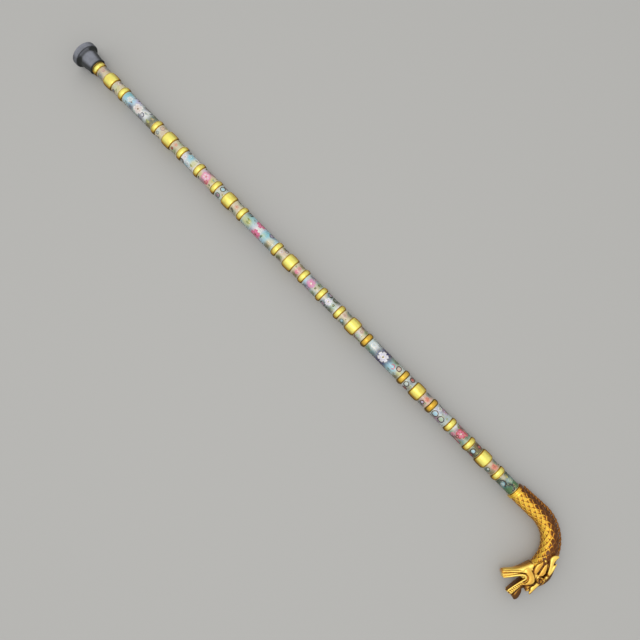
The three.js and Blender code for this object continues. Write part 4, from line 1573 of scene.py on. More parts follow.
@dataclass(frozen=True)
class HeadShapes:
    """The head's forms in mm from the neck's end, with x up through the skull and reach forward."""

    skull: Keys = (
        (0, -1, 0, 10.4, 9.6), (0, 6, 0, 11, 9.7), (-0.6, 11, 0, 12.4, 10.1), (-1.6, 17, 0, 13.6, 10),
        (-1.6, 23, 0, 11.5, 9.2), (-1, 28, 0, 7, 7.8))
    crown: Keys = (
        (13, -7, 0, 3.4, 4.4), (15.1, 4, 0, 5, 6), (14.8, 13, 0, 5, 5.8), (12.4, 22, 0, 4, 4.8),
        (10.6, 30, 0, 3.2, 3.8), (9, 36.4, 0, 1.4, 2.2))
    upper_jaw: Keys = (
        (-1, 22, 0, 5, 9.4), (-3.4, 35, 0, 3, 7), (-4.6, 44, 0, 3.2, 6), (-5.2, 52, 0, 3.4, 5),
        (-5.2, 53.6, 0, 2.7, 4.2))
    nose: Keys = (
        (5.4, 18, 0, 7, 7.6), (2.4, 30, 0, 5.4, 6.2), (-0.6, 38, 0, 4.4, 5), (1.2, 44, 0, 5.8, 4.6),
        (2.2, 50, 0, 6, 4.8), (1.6, 53.2, 0, 4.6, 4))
    lower_jaw: Keys = (
        (-7, 8, 0, 5.5, 10.2), (-10.4, 19, 0, 6, 9.2), (-16.6, 29.8, 0, 5, 7), (-22.8, 37.8, 0, 5.4, 5.8),
        (-26.2, 42.4, 0, 5.4, 5.3))
    horn: Keys = (
        (8.9, 3.8, 14.1, 4.3, 9.8, 2.2), (6.5, -0.1, 13.3, -0.1, 10.8, 2),
        (3.9, -4.1, 11.5, -4.1, 11.6, 1.8), (1.5, -8, 8.9, -8, 12.2, 1.6),
        (0.3, -11.5, 7.2, -11.5, 12.5, 1.5), (0, -15, 6.7, -14.5, 12.8, 1.2),
        (1.3, -18.2, 6.7, -17.5, 12.9, 1), (3.3, -20.2, 6.7, -19.5, 13.1, 0.6),
        (5.5, -21.2, 6.5, -20.8, 13.3, 0.2))
    prong: Keys = (
        (10, 3.9, 14.4, 4.4, 10, 2), (9.7, -0.6, 13.9, -0.6, 10.9, 1.9), (8.9, -5.1, 12.9, -5.1, 11.7, 1.6),
        (8.5, -9, 11.5, -9, 12.3, 1.1), (9.1, -11.7, 10.5, -11.7, 12.6, 0.6),
        (9.6, -13, 10, -13, 12.8, 0.2))
    upper_brow: Keys = (
        (9.5, 17.3, 13.5, 17.3, 8.6, 1), (8.3, 21.3, 13.4, 21.3, 9, 1.3), (7.4, 25.3, 13.1, 25.3, 9.2, 1.3),
        (7.4, 29.3, 12.8, 29.3, 9.3, 1.1), (8.5, 33.3, 12.7, 33.3, 9.3, 0.7),
        (11.4, 36.8, 12.4, 36.8, 9.3, 0.2))
    lower_brow: Keys = (
        (5.3, 25.2, 8.1, 25.2, 7.6, 0.9), (2.9, 29.2, 7.6, 29.2, 7.8, 1.1), (1.6, 32.7, 7.2, 32.7, 7.9, 1),
        (2.7, 35.4, 7.1, 35.4, 7.9, 0.6), (5.6, 36.9, 6.8, 36.9, 7.8, 0.2))
    upper_leaf: Keys = (
        (1.8, -4.6, 2.4, -4.6, 12, 0.3), (1, -2.1, 4.2, -2.1, 11.9, 0.7), (0.5, 1.4, 6.6, 1.4, 11.6, 0.9),
        (1.6, 5.4, 8.4, 5.4, 11.2, 1), (2.5, 9.4, 8.3, 9.4, 10.8, 1), (3.4, 12.8, 6.2, 12.8, 10.2, 0.8),
        (4.4, 16.3, 5.2, 16.3, 9.6, 0.4))
    lower_leaf: Keys = (
        (-3.2, -3.4, -2.2, -3, 12, 0.3), (-4.4, -1.1, -1, -1.1, 11.9, 0.7),
        (-5.7, 2.4, -0.2, 2.4, 11.6, 0.9), (-5.9, 6.4, 0.6, 6.4, 11.2, 1), (-4.8, 10.4, 1.5, 10.4, 10.7, 1),
        (-2.8, 13.7, 1.6, 13.7, 10.2, 0.7), (-0.6, 15.3, 1, 15.3, 9.8, 0.3))
    cheek: Keys = (
        (-12, 20.8, -10, 13.8, 9.4, 0.6), (-8.1, 21.9, -5.6, 14.3, 9.6, 1),
        (-4.2, 22.6, -0.7, 15.1, 9.6, 1.2), (-1.5, 23.9, 4.3, 17.9, 9.5, 1.3),
        (0.2, 26.3, 6.9, 22.3, 9.2, 1.3), (0.6, 29.3, 6.3, 27.3, 8.6, 1.2),
        (-0.2, 32.2, 2.7, 31.6, 7.6, 0.9), (-1.5, 35.9, -0.7, 36, 6.6, 0.3))
    lip: Keys = (
        (-22.6, 44.8, 5.2, 1, 1), (-18.5, 39.1, 6, 1.2, 1.2), (-14.5, 33.1, 7, 1.4, 1.4),
        (-11, 28.2, 8, 1.5, 1.5), (-8.2, 25.4, 8.6, 1.6, 1.5), (-5.6, 24.5, 8.9, 1.6, 1.5),
        (-3.6, 25.9, 8.7, 1.5, 1.5), (-3.4, 28.8, 8, 1.3, 1.4), (-4.9, 35.1, 7, 1.2, 1.2),
        (-6.4, 43.1, 5.9, 1.1, 1.1), (-7.9, 52, 4.9, 0.9, 0.9))
    gum: Keys = (
        (0.4, 31.2, 7, 0.9, 1), (-1.5, 37.1, 6.4, 0.9, 1), (-2.2, 44.1, 5.6, 0.9, 0.9),
        (-2.7, 52.2, 4.8, 0.8, 0.8))
    jaw_ridge: Keys = (
        (-8.4, 20.8, 9, 1.2, 1.1), (-12.4, 24.2, 8.4, 1.2, 1.1), (-17.4, 29.2, 7.4, 1.2, 1.1),
        (-22.9, 35.1, 6.2, 1.1, 1), (-28.2, 41.3, 5, 0.8, 0.8))
    orbit: Keys = (
        (17, 13.2, 6.4, 1, 1.4), (13, 12.1, 8.6, 1, 1.5), (9.4, 12.3, 9.4, 1, 1.5),
        (6.8, 14.3, 9.4, 0.9, 1.4), (6, 16.9, 9, 0.9, 1.3), (7.3, 19.9, 8.6, 0.8, 1))
    upper_lid: Keys = ((13.9, 13.6, 8, 0.6, 0.7), (12.8, 16.7, 9, 0.7, 0.8), (10.6, 19.9, 8.8, 0.6, 0.7))
    temple: tuple[Point, Point] = ((9.5, 16, 4.5), (6, 6.5, 4.6))
    eye: tuple[Point, Point] = ((9.7, 16.7, 7.9), (1.8, 2.3, 2))
    burr: tuple[Point, Point] = ((12.5, 7.8, 8.2), (2.6, 3.1, 4.4))
    nostril: tuple[Point, Point] = ((-0.2, 51, 3.6), (1.7, 2, 2))
    large_bead: tuple[Point, Point] = ((-1.9, -5.3, 11.2), (2, 2, 2))
    small_bead: tuple[Point, Point] = ((-5.8, -8.2, 11), (1.3, 1.3, 1.4))
    upper_teeth: Keys = ((-2.6, 33, 6.9, 2.4), (-3.7, 50.6, 5.1, 4.4))
    lower_teeth: Keys = ((-13.4, 31.6, 5.8, 1.6), (-21.4, 42.2, 4, 2))

    def plates(self) -> tuple[tuple[Keys, float], ...]:
        """Every raised plate, with how far it goes down into the casting at its end."""
        return ((self.horn, 1.4), (self.prong, 1.4), (self.upper_brow, 1.4), (self.lower_brow, 1.4),
                (self.upper_leaf, 5.0), (self.lower_leaf, 5.0), (self.cheek, 5.0))

    def lines(self) -> tuple[Line, ...]:
        """The dark creases of the head, then broad patches of painted shade and of warmer tone.

        Returns:
            The lines. Those without a depth only stain.
        """
        return (
            # Under the horn, round its burr and in the notch between its prongs
            Line(((0.6, -9.4), (3.4, -5.9), (5.6, -2.8), (7.2, 0.3), (8.6, 3.1), (9.9, 4.8)),
                 0.9, 0.8, 1.0),
            Line(((9.8, 5.2), (9.3, 7.3), (9.6, 9.3), (10.6, 10.8), (11.8, 11.6)), 0.8, 0.8, 1.0),
            Line(((7.4, -17), (7.9, -13.4), (8.7, -10.4)), 0.6, 0.7, 0.9),
            Line(((10.4, 4.1), (12.4, 3.9), (14.4, 4.4)), 0.4, 0.45, 0.5),
            Line(((12.4, -9.6), (13.6, -5.1), (14.9, 0), (15.2, 5), (15.4, 11)), 0.6, 0.7, 0.95),
            # Painted shade along the top of the crown
            Line(((14, -9), (15.6, -3), (17, 3), (17.4, 8), (17, 13)), 0.0, 1.9, 1.0),
            # Between the two leaves of the mane, under the lower one, and down past the beads
            Line(((-2.4, -3.4), (0, -0.9), (1.1, 4.3), (2, 8.4), (2.8, 11.6)), 0.8, 0.7, 0.95),
            Line(((2.4, 10.4), (3, 12.2)), 0.6, 1.0, 0.9),
            Line(((-4.8, -0.6), (-6.2, 2.8), (-6.5, 6.6), (-5.2, 10.6), (-3.4, 13.9)), 0.7, 0.75, 0.9),
            Line(((-0.4, -1.2), (-2.4, -3), (-4.4, -4.8), (-7, -6.6)), 0.6, 0.7, 0.85),
            Line(((7.2, 1.4), (9, 5.6), (8.9, 9.6), (6.8, 12.9)), 0.4, 0.5, 0.5),
            # Behind the cheek, over it and inside it round the corner of the mouth
            Line(((-4.2, 14.2), (-1.6, 15.1), (1.4, 16.5), (4, 17.9), (6, 20)), 0.8, 0.75, 0.95),
            Line(((6.6, 17.8), (7.6, 21.6), (7.6, 25), (6, 28.4), (3.4, 31.6), (0.8, 34.4), (-1.6, 37.6)),
                 0.9, 0.9, 1.0),
            Line(((-6, 22.6), (-3.6, 22.9), (-1.4, 24.6), (-0.6, 27.6), (-0.5, 31)), 0.5, 0.6, 0.65),
            # Grooves of the lower jaw, and the notch at its angle
            Line(((-7.2, 22.2), (-11.1, 24.9), (-14.6, 28.3), (-18.4, 32.6), (-22, 37), (-25.4, 41)),
                 0.7, 0.65, 0.85),
            Line(((-23, 33.6), (-26.6, 38)), 0.4, 0.45, 0.5),
            Line(((-10.6, 7.6), (-13.4, 8), (-16.4, 8.2)), 0.7, 1.0, 0.7),
            # Between the ridges of the upper jaw
            Line(((-1.6, 29.5), (-3.2, 36), (-4.3, 43), (-5.2, 53)), 0.7, 1.1, 1.0),
            Line(((1.6, 34), (-0.4, 39), (-1, 45), (-1.2, 52)), 0.5, 0.5, 0.9),
            # Round the eye, over the brow and between its two points
            Line(((6.6, 17), (7.9, 14.3), (10.6, 13.7), (13, 14.8), (13.2, 17.4), (11.2, 19.4),
                  (8.2, 19.6)), 0.5, 0.8, 1.0, True),
            Line(((13.8, 14), (14, 20), (13.8, 27), (13.4, 33), (12.8, 37.4)), 0.5, 0.8, 1.0),
            Line(((6.4, 28.6), (7.4, 31.6), (9.2, 34.6)), 0.5, 0.7, 0.85),
            # Round the beads
            Line(((0.7, -5.3), (-1.9, -2.7), (-4.5, -5.3), (-1.9, -7.9)), 0.3, 0.5, 0.75, True),
            Line(((-3.9, -8.2), (-5.8, -6.3), (-7.7, -8.2), (-5.8, -10.1)), 0.3, 0.5, 0.7, True),
            # Painted shade on the nose, the eye's socket, the brow and the jaw's edge; warmer cheek and
            # leaves
            Line(((3.4, 36), (3.8, 43), (4.2, 48), (3.8, 53)), 0.0, 4.2, 1.0),
            Line(((0.9, 34), (0.2, 38), (-0.3, 44), (-0.5, 52.5)), 0.0, 1.4, 0.95),
            Line(((8.6, 14.8), (11, 18.4)), 0.0, 1.9, 1.0),
            Line(((15, 16), (14.4, 22), (13.8, 28), (13, 36)), 0.0, 1.5, 1.0),
            Line(((8.4, 32.4), (7.6, 36.4)), 0.0, 1.4, 0.9),
            Line(((-11, 2), (-13, 8.5), (-15.4, 14.5), (-19, 21.5), (-24, 28), (-30, 35)), 0.0, 2.0, 0.46),
            Line(((-27.5, 42), (-29.5, 39)), 0.0, 1.4, 0.5),
            Line(((-8, 18), (-2, 19.5), (2.5, 23), (3, 28)), 0.0, 3.2, 0.34),
            Line(((0.6, -0.6), (4.4, 5), (5.4, 11)), 0.0, 3.4, 0.38),
            Line(((-3.4, 0.6), (-2.4, 6.4), (-1, 12)), 0.0, 3.4, 0.38),
        )


@dataclass
class CastSkin:
    """A fused skin of four-sided faces that can be softened, engraved and searched for hollows."""

    points: np.ndarray
    quads: np.ndarray

    def __post_init__(self) -> None:
        """List the skin's edges once, and start with no stain."""
        edges = np.vstack([self.quads[:, [k, (k + 1) % 4]] for k in range(4)])
        self.edges = np.unique(np.sort(edges, axis=1), axis=0)
        self.valence = np.bincount(self.edges.ravel(), minlength=len(self.points)).astype(float)
        self.stain = np.zeros(len(self.points))

    def around(self, values: np.ndarray) -> np.ndarray:
        """The mean of each point's neighbours.

        Args:
            values: one row of values for each point.

        Returns:
            The means, in the same shape.
        """
        a, b = self.edges.T
        size = len(self.points)
        total = np.stack([
            np.bincount(a, values[b, k], size) + np.bincount(b, values[a, k], size)
            for k in range(values.shape[1])
        ], axis=1)
        return total / self.valence[:, None]

    def soften(self, rounds: int, share: float = 0.5) -> None:
        """Draw each point towards its neighbours."""
        for _ in range(rounds):
            self.points += share * (self.around(self.points) - self.points)

    def normals(self) -> np.ndarray:
        """The unit normal at each point.

        Returns:
            The normals.
        """
        corner = self.points[self.quads]
        face = np.cross(corner[:, 2] - corner[:, 0], corner[:, 3] - corner[:, 1])
        size = len(self.points)
        total = np.stack([
            sum(np.bincount(self.quads[:, k], face[:, axis], size) for k in range(4)) for axis in range(3)
        ], axis=1)
        return total / np.maximum(np.linalg.norm(total, axis=1), 1e-12)[:, None]

    def engrave(self, line: Line, origin_x: float, origin_reach: float) -> None:
        """Cut a line into both cheeks and stain it.

        Args:
            line: the line.
            origin_x: x of the point that its keys are measured from.
            origin_reach: reach of that point.
        """
        path = smooth_path(line.keys, 90, line.closed) + np.array([origin_x, origin_reach])
        flat = np.stack([self.points[:, 0], -self.points[:, 1]], axis=1)
        margin = line.width * 2.6
        boxed = (flat > path.min(0) - margin) & (flat < path.max(0) + margin)
        near = np.flatnonzero(np.all(boxed, axis=1))
        gap = np.min(np.linalg.norm(flat[near, None] - path[None], axis=2), axis=1)
        normal = self.normals()[near]
        facing = np.clip(np.abs(normal[:, 2]) * 2.2 - 0.3, 0, 1)
        outer = np.clip((np.abs(self.points[near, 2]) - 2.6) / 1.2, 0, 1) if line.depth > 0 else 1.0
        profile = np.exp(-((gap / line.width) ** 2)) * outer
        self.points[near] -= normal * (line.depth * profile * facing)[:, None]
        self.stain[near] = np.maximum(self.stain[near], line.stain * np.clip(profile * 1.25, 0, 1))

    def shade(self, facing_down_shade: np.ndarray, rounds: int = 24) -> np.ndarray:
        """How dark the finish is at each point, from old lacquer and from painted shade.

        Args:
            facing_down_shade: how much painted shade each point gets where it faces down.
            rounds: how widely the hollows are felt for.

        Returns:
            Its darkness, from 0 to 1, for its stain, a hollow, and painted shade where it faces up or down.
        """
        soft = self.points.copy()
        fine = None
        for step in range(rounds):
            soft += 0.6 * (self.around(soft) - soft)
            if step == 5:
                fine = soft.copy()
        normal = self.normals()
        wide = np.sum((soft - self.points) * normal, axis=1)
        narrow = np.sum((fine - self.points) * normal, axis=1)
        # Painted shade on faces that turn down, and on faces that turn up towards the skull's top
        under = np.clip((-normal[:, 0] - 0.72) / 0.22, 0, 1) * facing_down_shade
        over = np.clip((normal[:, 0] - 0.45) / 0.3, 0, 1) * 0.75
        hollow = np.clip(wide + narrow * 2, 0, 1)
        return np.clip(np.maximum(hollow, self.stain) + np.maximum(under, over), 0, 1)


@dataclass
class DragonCrook:
    """The cast handle: a rim, a scaled and crested neck that bends through a quarter turn, and the head."""

    node: str = "dragon_handle"
    rim_length: float = 4.4
    rim_radius: float = 11.4
    neck_radius: float = 10.3
    head_radius: float = 11.6
    straight: float = 42.0
    lean: float = 1.3
    crook: float = 42.0
    scales_past_neck: float = 9.0
    scales_round: int = 10
    scale_pitch: float = 5.0
    scale_relief: float = 0.75
    neck_rows: int = 320
    neck_sides: int = 220
    voxel: float = 0.3
    crest_count: int = 22
    crest_height: float = 3.4
    back_border: Keys = (
        (0, 1.9), (20, 2.2), (30, 2.35), (40, 2.5), (50, 2.65), (70, 2.8), (80, 3.1), (94, 3.5))
    throat_border: float = 4.15
    shapes: HeadShapes = HeadShapes()

    def __post_init__(self) -> None:
        """Take the handle's place from its solid."""
        self.base = extent(self.node)[0]
        self.bend_x = self.base + self.straight
        self.head_x = self.bend_x + self.crook
        self.head_reach = self.crook - self.lean
        self.neck_length = self.straight + self.crook * math.pi / 2

    def spine(self, along: np.ndarray) -> tuple[np.ndarray, np.ndarray]:
        """The neck's middle line, which runs straight on past the quarter turn.

        Args:
            along: distances from the rim's face.

        Returns:
            The points, and the unit directions towards the neck's back.
        """
        turn = np.clip((along - self.straight) / self.crook, 0, math.pi / 2)
        past = np.maximum(along - self.neck_length, 0)
        bent = along > self.straight
        x = np.where(bent, self.bend_x + self.crook * np.sin(turn), self.base + along)
        bent_reach = self.head_reach - self.crook * np.cos(turn) + past
        reach = np.where(bent, bent_reach, -self.lean * along / self.straight)
        centre = np.stack([x, -reach, np.zeros_like(x)], axis=1)
        back = np.stack([np.sin(turn), np.cos(turn), np.zeros_like(x)], axis=1)
        return centre, back

    def girth(self, along: np.ndarray) -> np.ndarray:
        """The neck's radius without its scales, drawn in where it runs into the head.

        Args:
            along: distances from the rim's face.

        Returns:
            The radii.
        """
        share = np.minimum(along / self.neck_length, 1)
        swell = self.neck_radius + (self.head_radius - self.neck_radius) * share
        return swell - 0.45 - 0.13 * np.maximum(along - self.neck_length + 1, 0)

    def scales(self, row: np.ndarray, column: np.ndarray) -> tuple[np.ndarray, np.ndarray]:
        """Overlapping pointed scales, each a shallow dish with a raised rim.

        Args:
            row: distances along the neck, in rows of scales.
            column: distances round it, in scales.

        Returns:
            The height, from 0 to 1, and the darkness, from 0 to 1, of the dishes and the painted shadows.
        """
        height = np.zeros_like(row)
        sunken_and_shaded = np.zeros_like(row)
        shadow = np.zeros_like(row)
        done = np.zeros_like(row, dtype=bool)
        for ahead in (1, 0, -1):
            number = np.floor(row) + ahead
            shift = 0.5 * (number % 2)
            lateral = (column - shift + 0.5) % 1 - 0.5
            from_tip = row - (number - 0.75)
            half = 0.5 * np.clip(from_tip, 0, 1) ** 0.6
            inside = (from_tip > 0) & (np.abs(lateral) <= half) & ~done
            edge = np.minimum(half - np.abs(lateral), from_tip * 0.6)
            rim = np.exp(-((edge - 0.08) / 0.07) ** 2)
            dish = np.clip(edge / 0.34, 0, 1)
            slope = np.clip(1 - 0.45 * from_tip, 0, 1)
            rib = 0.12 * np.exp(-((lateral / 0.05) ** 2)) * np.clip(from_tip * 3, 0, 1)
            height = np.where(inside, slope * 0.75 + 0.28 * rim - 0.15 * dish + rib, height)
            # Darker in the dish, with painted shade beside the tip of the scale above
            low = np.clip(dish * 0.15 + np.clip(from_tip - 1.15, 0, 0.5) * 1.5 - rim * 0.4, 0, 1)
            sunken_and_shaded = np.where(inside, low, sunken_and_shaded)
            # A painted shadow on the scale beneath, along the edge of the one above
            outside = np.maximum(np.abs(lateral) - half, -from_tip * 0.6)
            shadow = np.where(done | inside, shadow, np.maximum(shadow, np.exp(-((outside / 0.11) ** 2))))
            done |= inside
        return height, np.clip(sunken_and_shaded + shadow * 0.75, 0, 1)

    def back_and_throat_shade(self, along: np.ndarray, column: np.ndarray, height: np.ndarray) -> np.ndarray:
        """Painted shade along the neck's back and throat, which face away from the light, less on the
        scales' tips.

        Args:
            along: distances along the neck.
            column: distances round it from its back, in scales.
            height: the scales' height.

        Returns:
            The darkness, from 0 to 1.
        """
        from_back = np.minimum(column, self.scales_round - column)
        border = np.interp(along, *np.array(self.back_border).T)
        # Painted shade from the border of the back, and from that of the throat
        back = np.clip((border + 0.2 - from_back) / 0.45, 0, 1)
        throat = np.clip((from_back - self.throat_border) / 0.4, 0, 1) * 0.85
        # The scales' tips stay lighter in the painted shade, as painted glints
        tips = np.clip((height - 0.5) / 0.25, 0, 1)
        worn = tips * np.clip((from_back - border + 0.8) / 0.5, 0, 1)
        return np.maximum(back * (1 - 0.75 * worn - 0.15 * tips), throat * (1 - 0.9 * tips))

    def build_neck(self) -> None:
        """The rim, the scaled neck and the crest down its back."""
        shell = Shell()
        self.add_scales(shell)
        self.add_rim(shell)
        start = self.rim_length
        for number in range(self.crest_count):
            share = number / (self.crest_count - 1)
            at = start + 2.6 + share * (self.neck_length - start - 8)
            self.add_crest(shell, at, self.crest_height * (0.75 + 0.25 * math.sin(math.pi * share)))
        fit(shell.piece("dragon_neck", (NECK_GILT,), 180), CANE, self.node)

    def add_scales(self, shell: Shell) -> None:
        """The neck, raised scale by scale.

        Args:
            shell: the neck's mesh.
        """
        start, rows, sides = self.rim_length, self.neck_rows, self.neck_sides
        along = np.linspace(start - 0.6, self.neck_length + self.scales_past_neck, rows)
        centre, back = self.spine(along)
        turns = round_angles(sides)
        row_number = np.broadcast_to((along / self.scale_pitch)[:, None], (rows, sides))
        column = np.broadcast_to((turns * self.scales_round / (2 * np.pi))[None], (rows, sides))
        height, sunken_and_shaded = self.scales(row_number, column)
        fade = np.clip((along - start - 1.2) / 1.5, 0, 1)[:, None]
        out = self.girth(along)[:, None] + self.scale_relief * height * fade
        side = np.array([0.0, 0.0, 1.0])
        points = (centre[:, None] + back[:, None] * (out * np.cos(turns))[..., None]
                  + side * (out * np.sin(turns))[..., None])
        # Painted shade along the neck's back and throat, which face away from the light overhead
        dark = self.back_and_throat_shade(np.broadcast_to(along[:, None], height.shape), column, height)
        faces = [tuple(reversed(face)) for face in tube_faces(rows, sides)]
        shell.add((points.reshape(-1, 3), faces), hollow_and_shade=np.maximum(sunken_and_shaded * fade, dark).ravel())

    def add_rim(self, shell: Shell) -> None:
        """The turned rim that meets the last bead, with painted shade towards the dragon's back.

        Args:
            shell: the neck's mesh.
        """
        start, face_x, rim = self.rim_length, self.base, self.rim_radius
        lathed = turned([
            (face_x, 0.0), (face_x, rim - 0.9), *arc((face_x + 0.7, rim - 0.7), (0.7, 0.7), 180, 90, 5),
            (face_x + 1.6, rim), (face_x + 1.9, rim - 0.35), (face_x + 2.3, rim - 0.35),
            (face_x + 2.6, rim), *arc((face_x + start - 0.8, rim - 0.8), (0.8, 0.8), 90, 0, 5),
            (face_x + start, 0.0),
        ], 96)
        shell.add(lathed, hollow_and_shade=np.clip((lathed[0][:, 1] - 3.5) / 3.5, 0, 1) * 0.9)

    def add_crest(self, shell: Shell, at: float, height: float) -> None:
        """One flame of the crest, swept back towards the shaft.

        Args:
            shell: the neck's mesh.
            at: the flame's place along the neck.
            height: how far it stands out of the scales.
        """
        places = np.array([at + 2.6, at + 1.6, at - 0.6, at - 2.3])
        lifts = [-1.0, height * 0.45, height * 0.85, height]
        centre, back = self.spine(places)
        radius = self.girth(places) + 0.3
        keys = []
        for k, (half_height, half_width) in enumerate(((1.6, 1.5), (1.9, 1.25), (1.2, 0.8), (0.2, 0.2))):
            spot = centre[k] + back[k] * (radius[k] + lifts[k] - 0.4)
            keys.append((spot[0], -spot[1], 0.0, half_height, half_width))
        # The flame is dark all over, with the painted shade along the neck's back
        shell.add(limb(keys, 10, 12, 1.7), hollow_and_shade=0.85)

    def placed(self, keys: Keys, pairs: int = 1) -> list[list[float]]:
        """Keys in the cane's frame, where the first one or two pairs of values are an x and a reach."""
        shift = [self.head_x, self.head_reach] * pairs
        return [[value + move for value, move in zip(key, shift)] + list(key[2 * pairs:]) for key in keys]

    def head_forms(self) -> list[Form]:
        """Every closed form that is fused into the head.

        Returns:
            The forms, in the cane's frame.
        """
        s = self.shapes
        forms = [limb(self.placed(keys), 30, 32, fullness) for keys, fullness in (
            (s.skull, 2.0), (s.crown, 2.0), (s.upper_jaw, 3.0), (s.nose, 2.0), (s.lower_jaw, 2.4))]
        for side in (1, -1):
            for keys, end_depth in s.plates():
                forms.append(plate(self.placed(keys, 2), side, end_depth))
            for keys in (s.lip, s.gum, s.jaw_ridge, s.orbit, s.upper_lid):
                forms.append(limb(self.placed(keys), 40, 16, 2.0, side))
            for (x, reach, z), radii in (s.temple, s.eye, s.burr, s.nostril, s.large_bead, s.small_bead):
                forms.append(ball(x + self.head_x, reach + self.head_reach, z, radii, side))
        return forms

    def cast(self, forms: list[Form]) -> tuple[np.ndarray, np.ndarray]:
        """Fuse closed forms into one skin.

        Args:
            forms: the forms.

        Returns:
            The skin's points and its faces' corner numbers.
        """
        rough = Shell()
        for form in forms:
            rough.add(form)
        mesh = bpy.data.meshes.new("head_forms")
        mesh.from_pydata(np.vstack(rough.points).tolist(), [], rough.faces)
        holder = linked("head_forms", mesh)
        remesh = holder.modifiers.new("fuse", "REMESH")
        remesh.mode, remesh.voxel_size, remesh.adaptivity = "VOXEL", self.voxel, 0.0
        result = holder.evaluated_get(bpy.context.evaluated_depsgraph_get())
        fused = bpy.data.meshes.new_from_object(result)
        points = np.zeros(len(fused.vertices) * 3)
        fused.vertices.foreach_get("co", points)
        corners = np.zeros(len(fused.polygons) * 4, int)
        fused.polygons.foreach_get("vertices", corners)
        bpy.data.objects.remove(holder)
        for spent in (mesh, fused):
            bpy.data.meshes.remove(spent)
        return points.reshape(-1, 3), corners.reshape(-1, 4)

    def build_head(self) -> None:
        """Fuse the head, soften it, cut its lines and set in the teeth."""
        points, quads = self.cast(self.head_forms())
        skin = CastSkin(points, quads)
        skin.soften(2)
        for line in self.shapes.lines():
            skin.engrave(line, self.head_x, self.head_reach)
        skin.soften(1, 0.3)
        x, reach = skin.points[:, 0] - self.head_x, -skin.points[:, 1] - self.head_reach
        # The roof of the mouth takes more painted shade than the other faces that turn down
        palate = (x > -11) & (reach > 25)
        shell = Shell()
        faces = [tuple(quad) for quad in quads.tolist()]
        shell.add((skin.points, faces), hollow_and_shade=skin.shade(np.where(palate, 0.9, 0.35)))
        for side in (1, -1):
            for form in self.teeth(side):
                shell.add(form, hollow_and_shade=0.1)
        fit(shell.piece("dragon_head", (HEAD_GILT,), 180), CANE, self.node)

    def teeth(self, side: int) -> list[Form]:
        """The teeth of one side: the upper ones lean forward and grow towards the snout.

        Args:
            side: 1, or -1 for the twin row.

        Returns:
            The teeth.
        """
        forms = []
        for row, count, down, lean, girth in ((self.shapes.upper_teeth, 8, -1, 1.1, 1.2),
                                              (self.shapes.lower_teeth, 7, 1, -0.2, 0.9)):
            back, front = (np.array(end) for end in self.placed(row))
            for number in range(count):
                x, reach, z, length = back + (front - back) * number / (count - 1)
                forms.append(limb((
                    (x - down, reach - 0.3, z, girth, girth),
                    (x + down * length * 0.5, reach + lean * 0.5, z, girth * 0.75, girth * 0.7),
                    (x + down * length, reach + lean, z, 0.15, 0.15),
                ), 6, 10, 2.0, side))
        return forms

    def build(self) -> None:
        """Make the neck and the head."""
        self.build_neck()
        self.build_head()


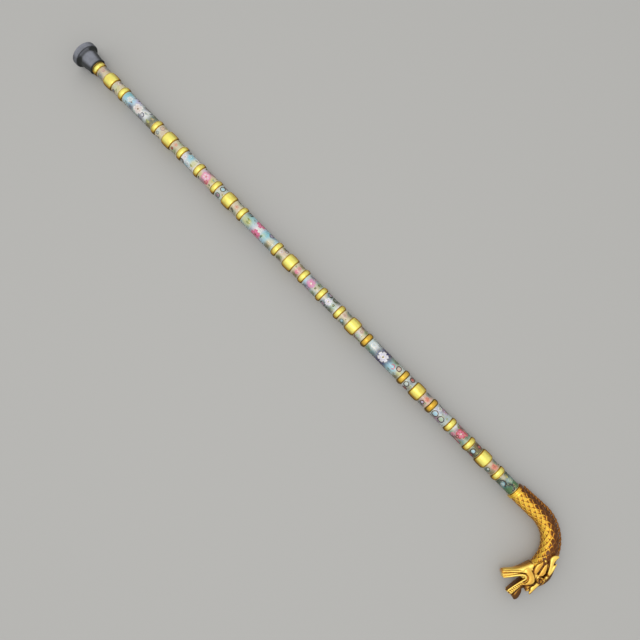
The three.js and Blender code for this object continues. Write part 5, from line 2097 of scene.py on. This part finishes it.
@dataclass
class Studio:
    """A pale floor under the cane, soft light from above, and a camera in the photographer's place."""

    camera_at: Point = (0.57385, -0.10624, 0.87095)
    camera_right: Point = (0.696599, 0.71747, -0.000562)
    camera_up: Point = (-0.710971, 0.690397, 0.133692)
    focal_px: float = 680.0
    image_px: float = 640.0
    floor_half: float = 6.0
    floor_tone: Colour = (0.47, 0.47, 0.46)
    lamp_at: Point = (0.47, -0.3, 1.55)
    lamp_aim: Point = (0.5, 0.0, 0.0)
    lamp_size: tuple[float, float] = (1.1, 0.7)
    lamp_watts: float = 4.5
    sky_low: float = 0.23
    sky_rise: float = 0.67
    sky_fall_aside: float = 0.05

    def build(self) -> None:
        """Make the floor, the lamp, the world and the camera."""
        self.build_floor()
        self.build_light()
        self.build_camera()

    def build_floor(self) -> None:
        """A flat floor that meets the foot's flange and the horns, which the cane lies on."""
        foot, (handle_low, handle_high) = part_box("ferrule")[0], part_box("dragon_handle")
        slope = (handle_low.z - foot.z) / handle_high.x
        corners = [(x * self.floor_half, y * self.floor_half, foot.z + slope * x * self.floor_half)
                   for x, y in ((-1, -1), (1, -1), (1, 1), (-1, 1))]
        mesh = bpy.data.meshes.new("floor")
        mesh.from_pydata(corners, [], [(0, 1, 2, 3)])
        graph = Graph("floor_card")
        speckle = graph.grain(1.5, 3.0)
        mesh.materials.append(graph.surface({
            "Base Color": graph.blend(speckle * 0.08, self.floor_tone, (0.4, 0.4, 0.4)),
            "Roughness": 0.9,
            "Specular IOR Level": 0.15,
        }))
        linked("floor", mesh)

    def build_light(self) -> None:
        """A broad lamp overhead, and a world that is brighter towards its top."""
        lamp = bpy.data.lights.new("soft_lamp", "AREA")
        lamp.shape, lamp.energy = "RECTANGLE", self.lamp_watts
        lamp.size, lamp.size_y = self.lamp_size
        holder = linked("soft_lamp", lamp)
        holder.location = self.lamp_at
        aim = Vector(self.lamp_aim) - holder.location
        holder.rotation_euler = aim.to_track_quat("-Z", "Y").to_euler()

        world = bpy.data.worlds.new("studio")
        bpy.context.scene.world = world
        world.use_nodes = True
        graph = Graph("studio", world.node_tree)
        towards = graph.signal("ShaderNodeTexCoord", output="Generated", carries=Kind.VECTOR)
        axes = graph.node("ShaderNodeSeparateXYZ", None, {"Vector": towards})
        height, aside = Signal(graph, axes.outputs["Z"]), Signal(graph, axes.outputs["Y"])
        level = height.ramp(-0.05, 0.45) * self.sky_rise + self.sky_low
        level = level - aside.ramp(0.0, 1.0) * self.sky_fall_aside
        glow = graph.signal("ShaderNodeBackground", None, {"Color": (1.0, 0.99, 0.97), "Strength": level})
        graph.node("ShaderNodeOutputWorld", None, {"Surface": glow})

    def build_camera(self) -> None:
        """The camera, level with the photograph's own."""
        lens = bpy.data.cameras.new("camera")
        lens.sensor_width = 36.0
        lens.lens = lens.sensor_width * self.focal_px / self.image_px
        lens.clip_start, lens.clip_end = 0.01, 50.0
        right = Vector(self.camera_right).normalized()
        back = right.cross(Vector(self.camera_up)).normalized()
        turn = Matrix((right, back.cross(right), back)).transposed()
        camera = linked("camera", lens)
        camera.matrix_world = Matrix.Translation(self.camera_at) @ turn.to_4x4()
        bpy.context.scene.camera = camera


def main() -> None:
    """Build the stage and every piece of the cane in order."""
    logging.basicConfig(level=logging.INFO, format="%(name)s: %(message)s")
    bpy.context.scene.view_settings.view_transform = "Standard"
    Studio().build()
    RubberFoot().build()
    TipEnd().build()
    Shaft().build()
    DragonCrook().build()


if __name__ == "__main__":
    main()
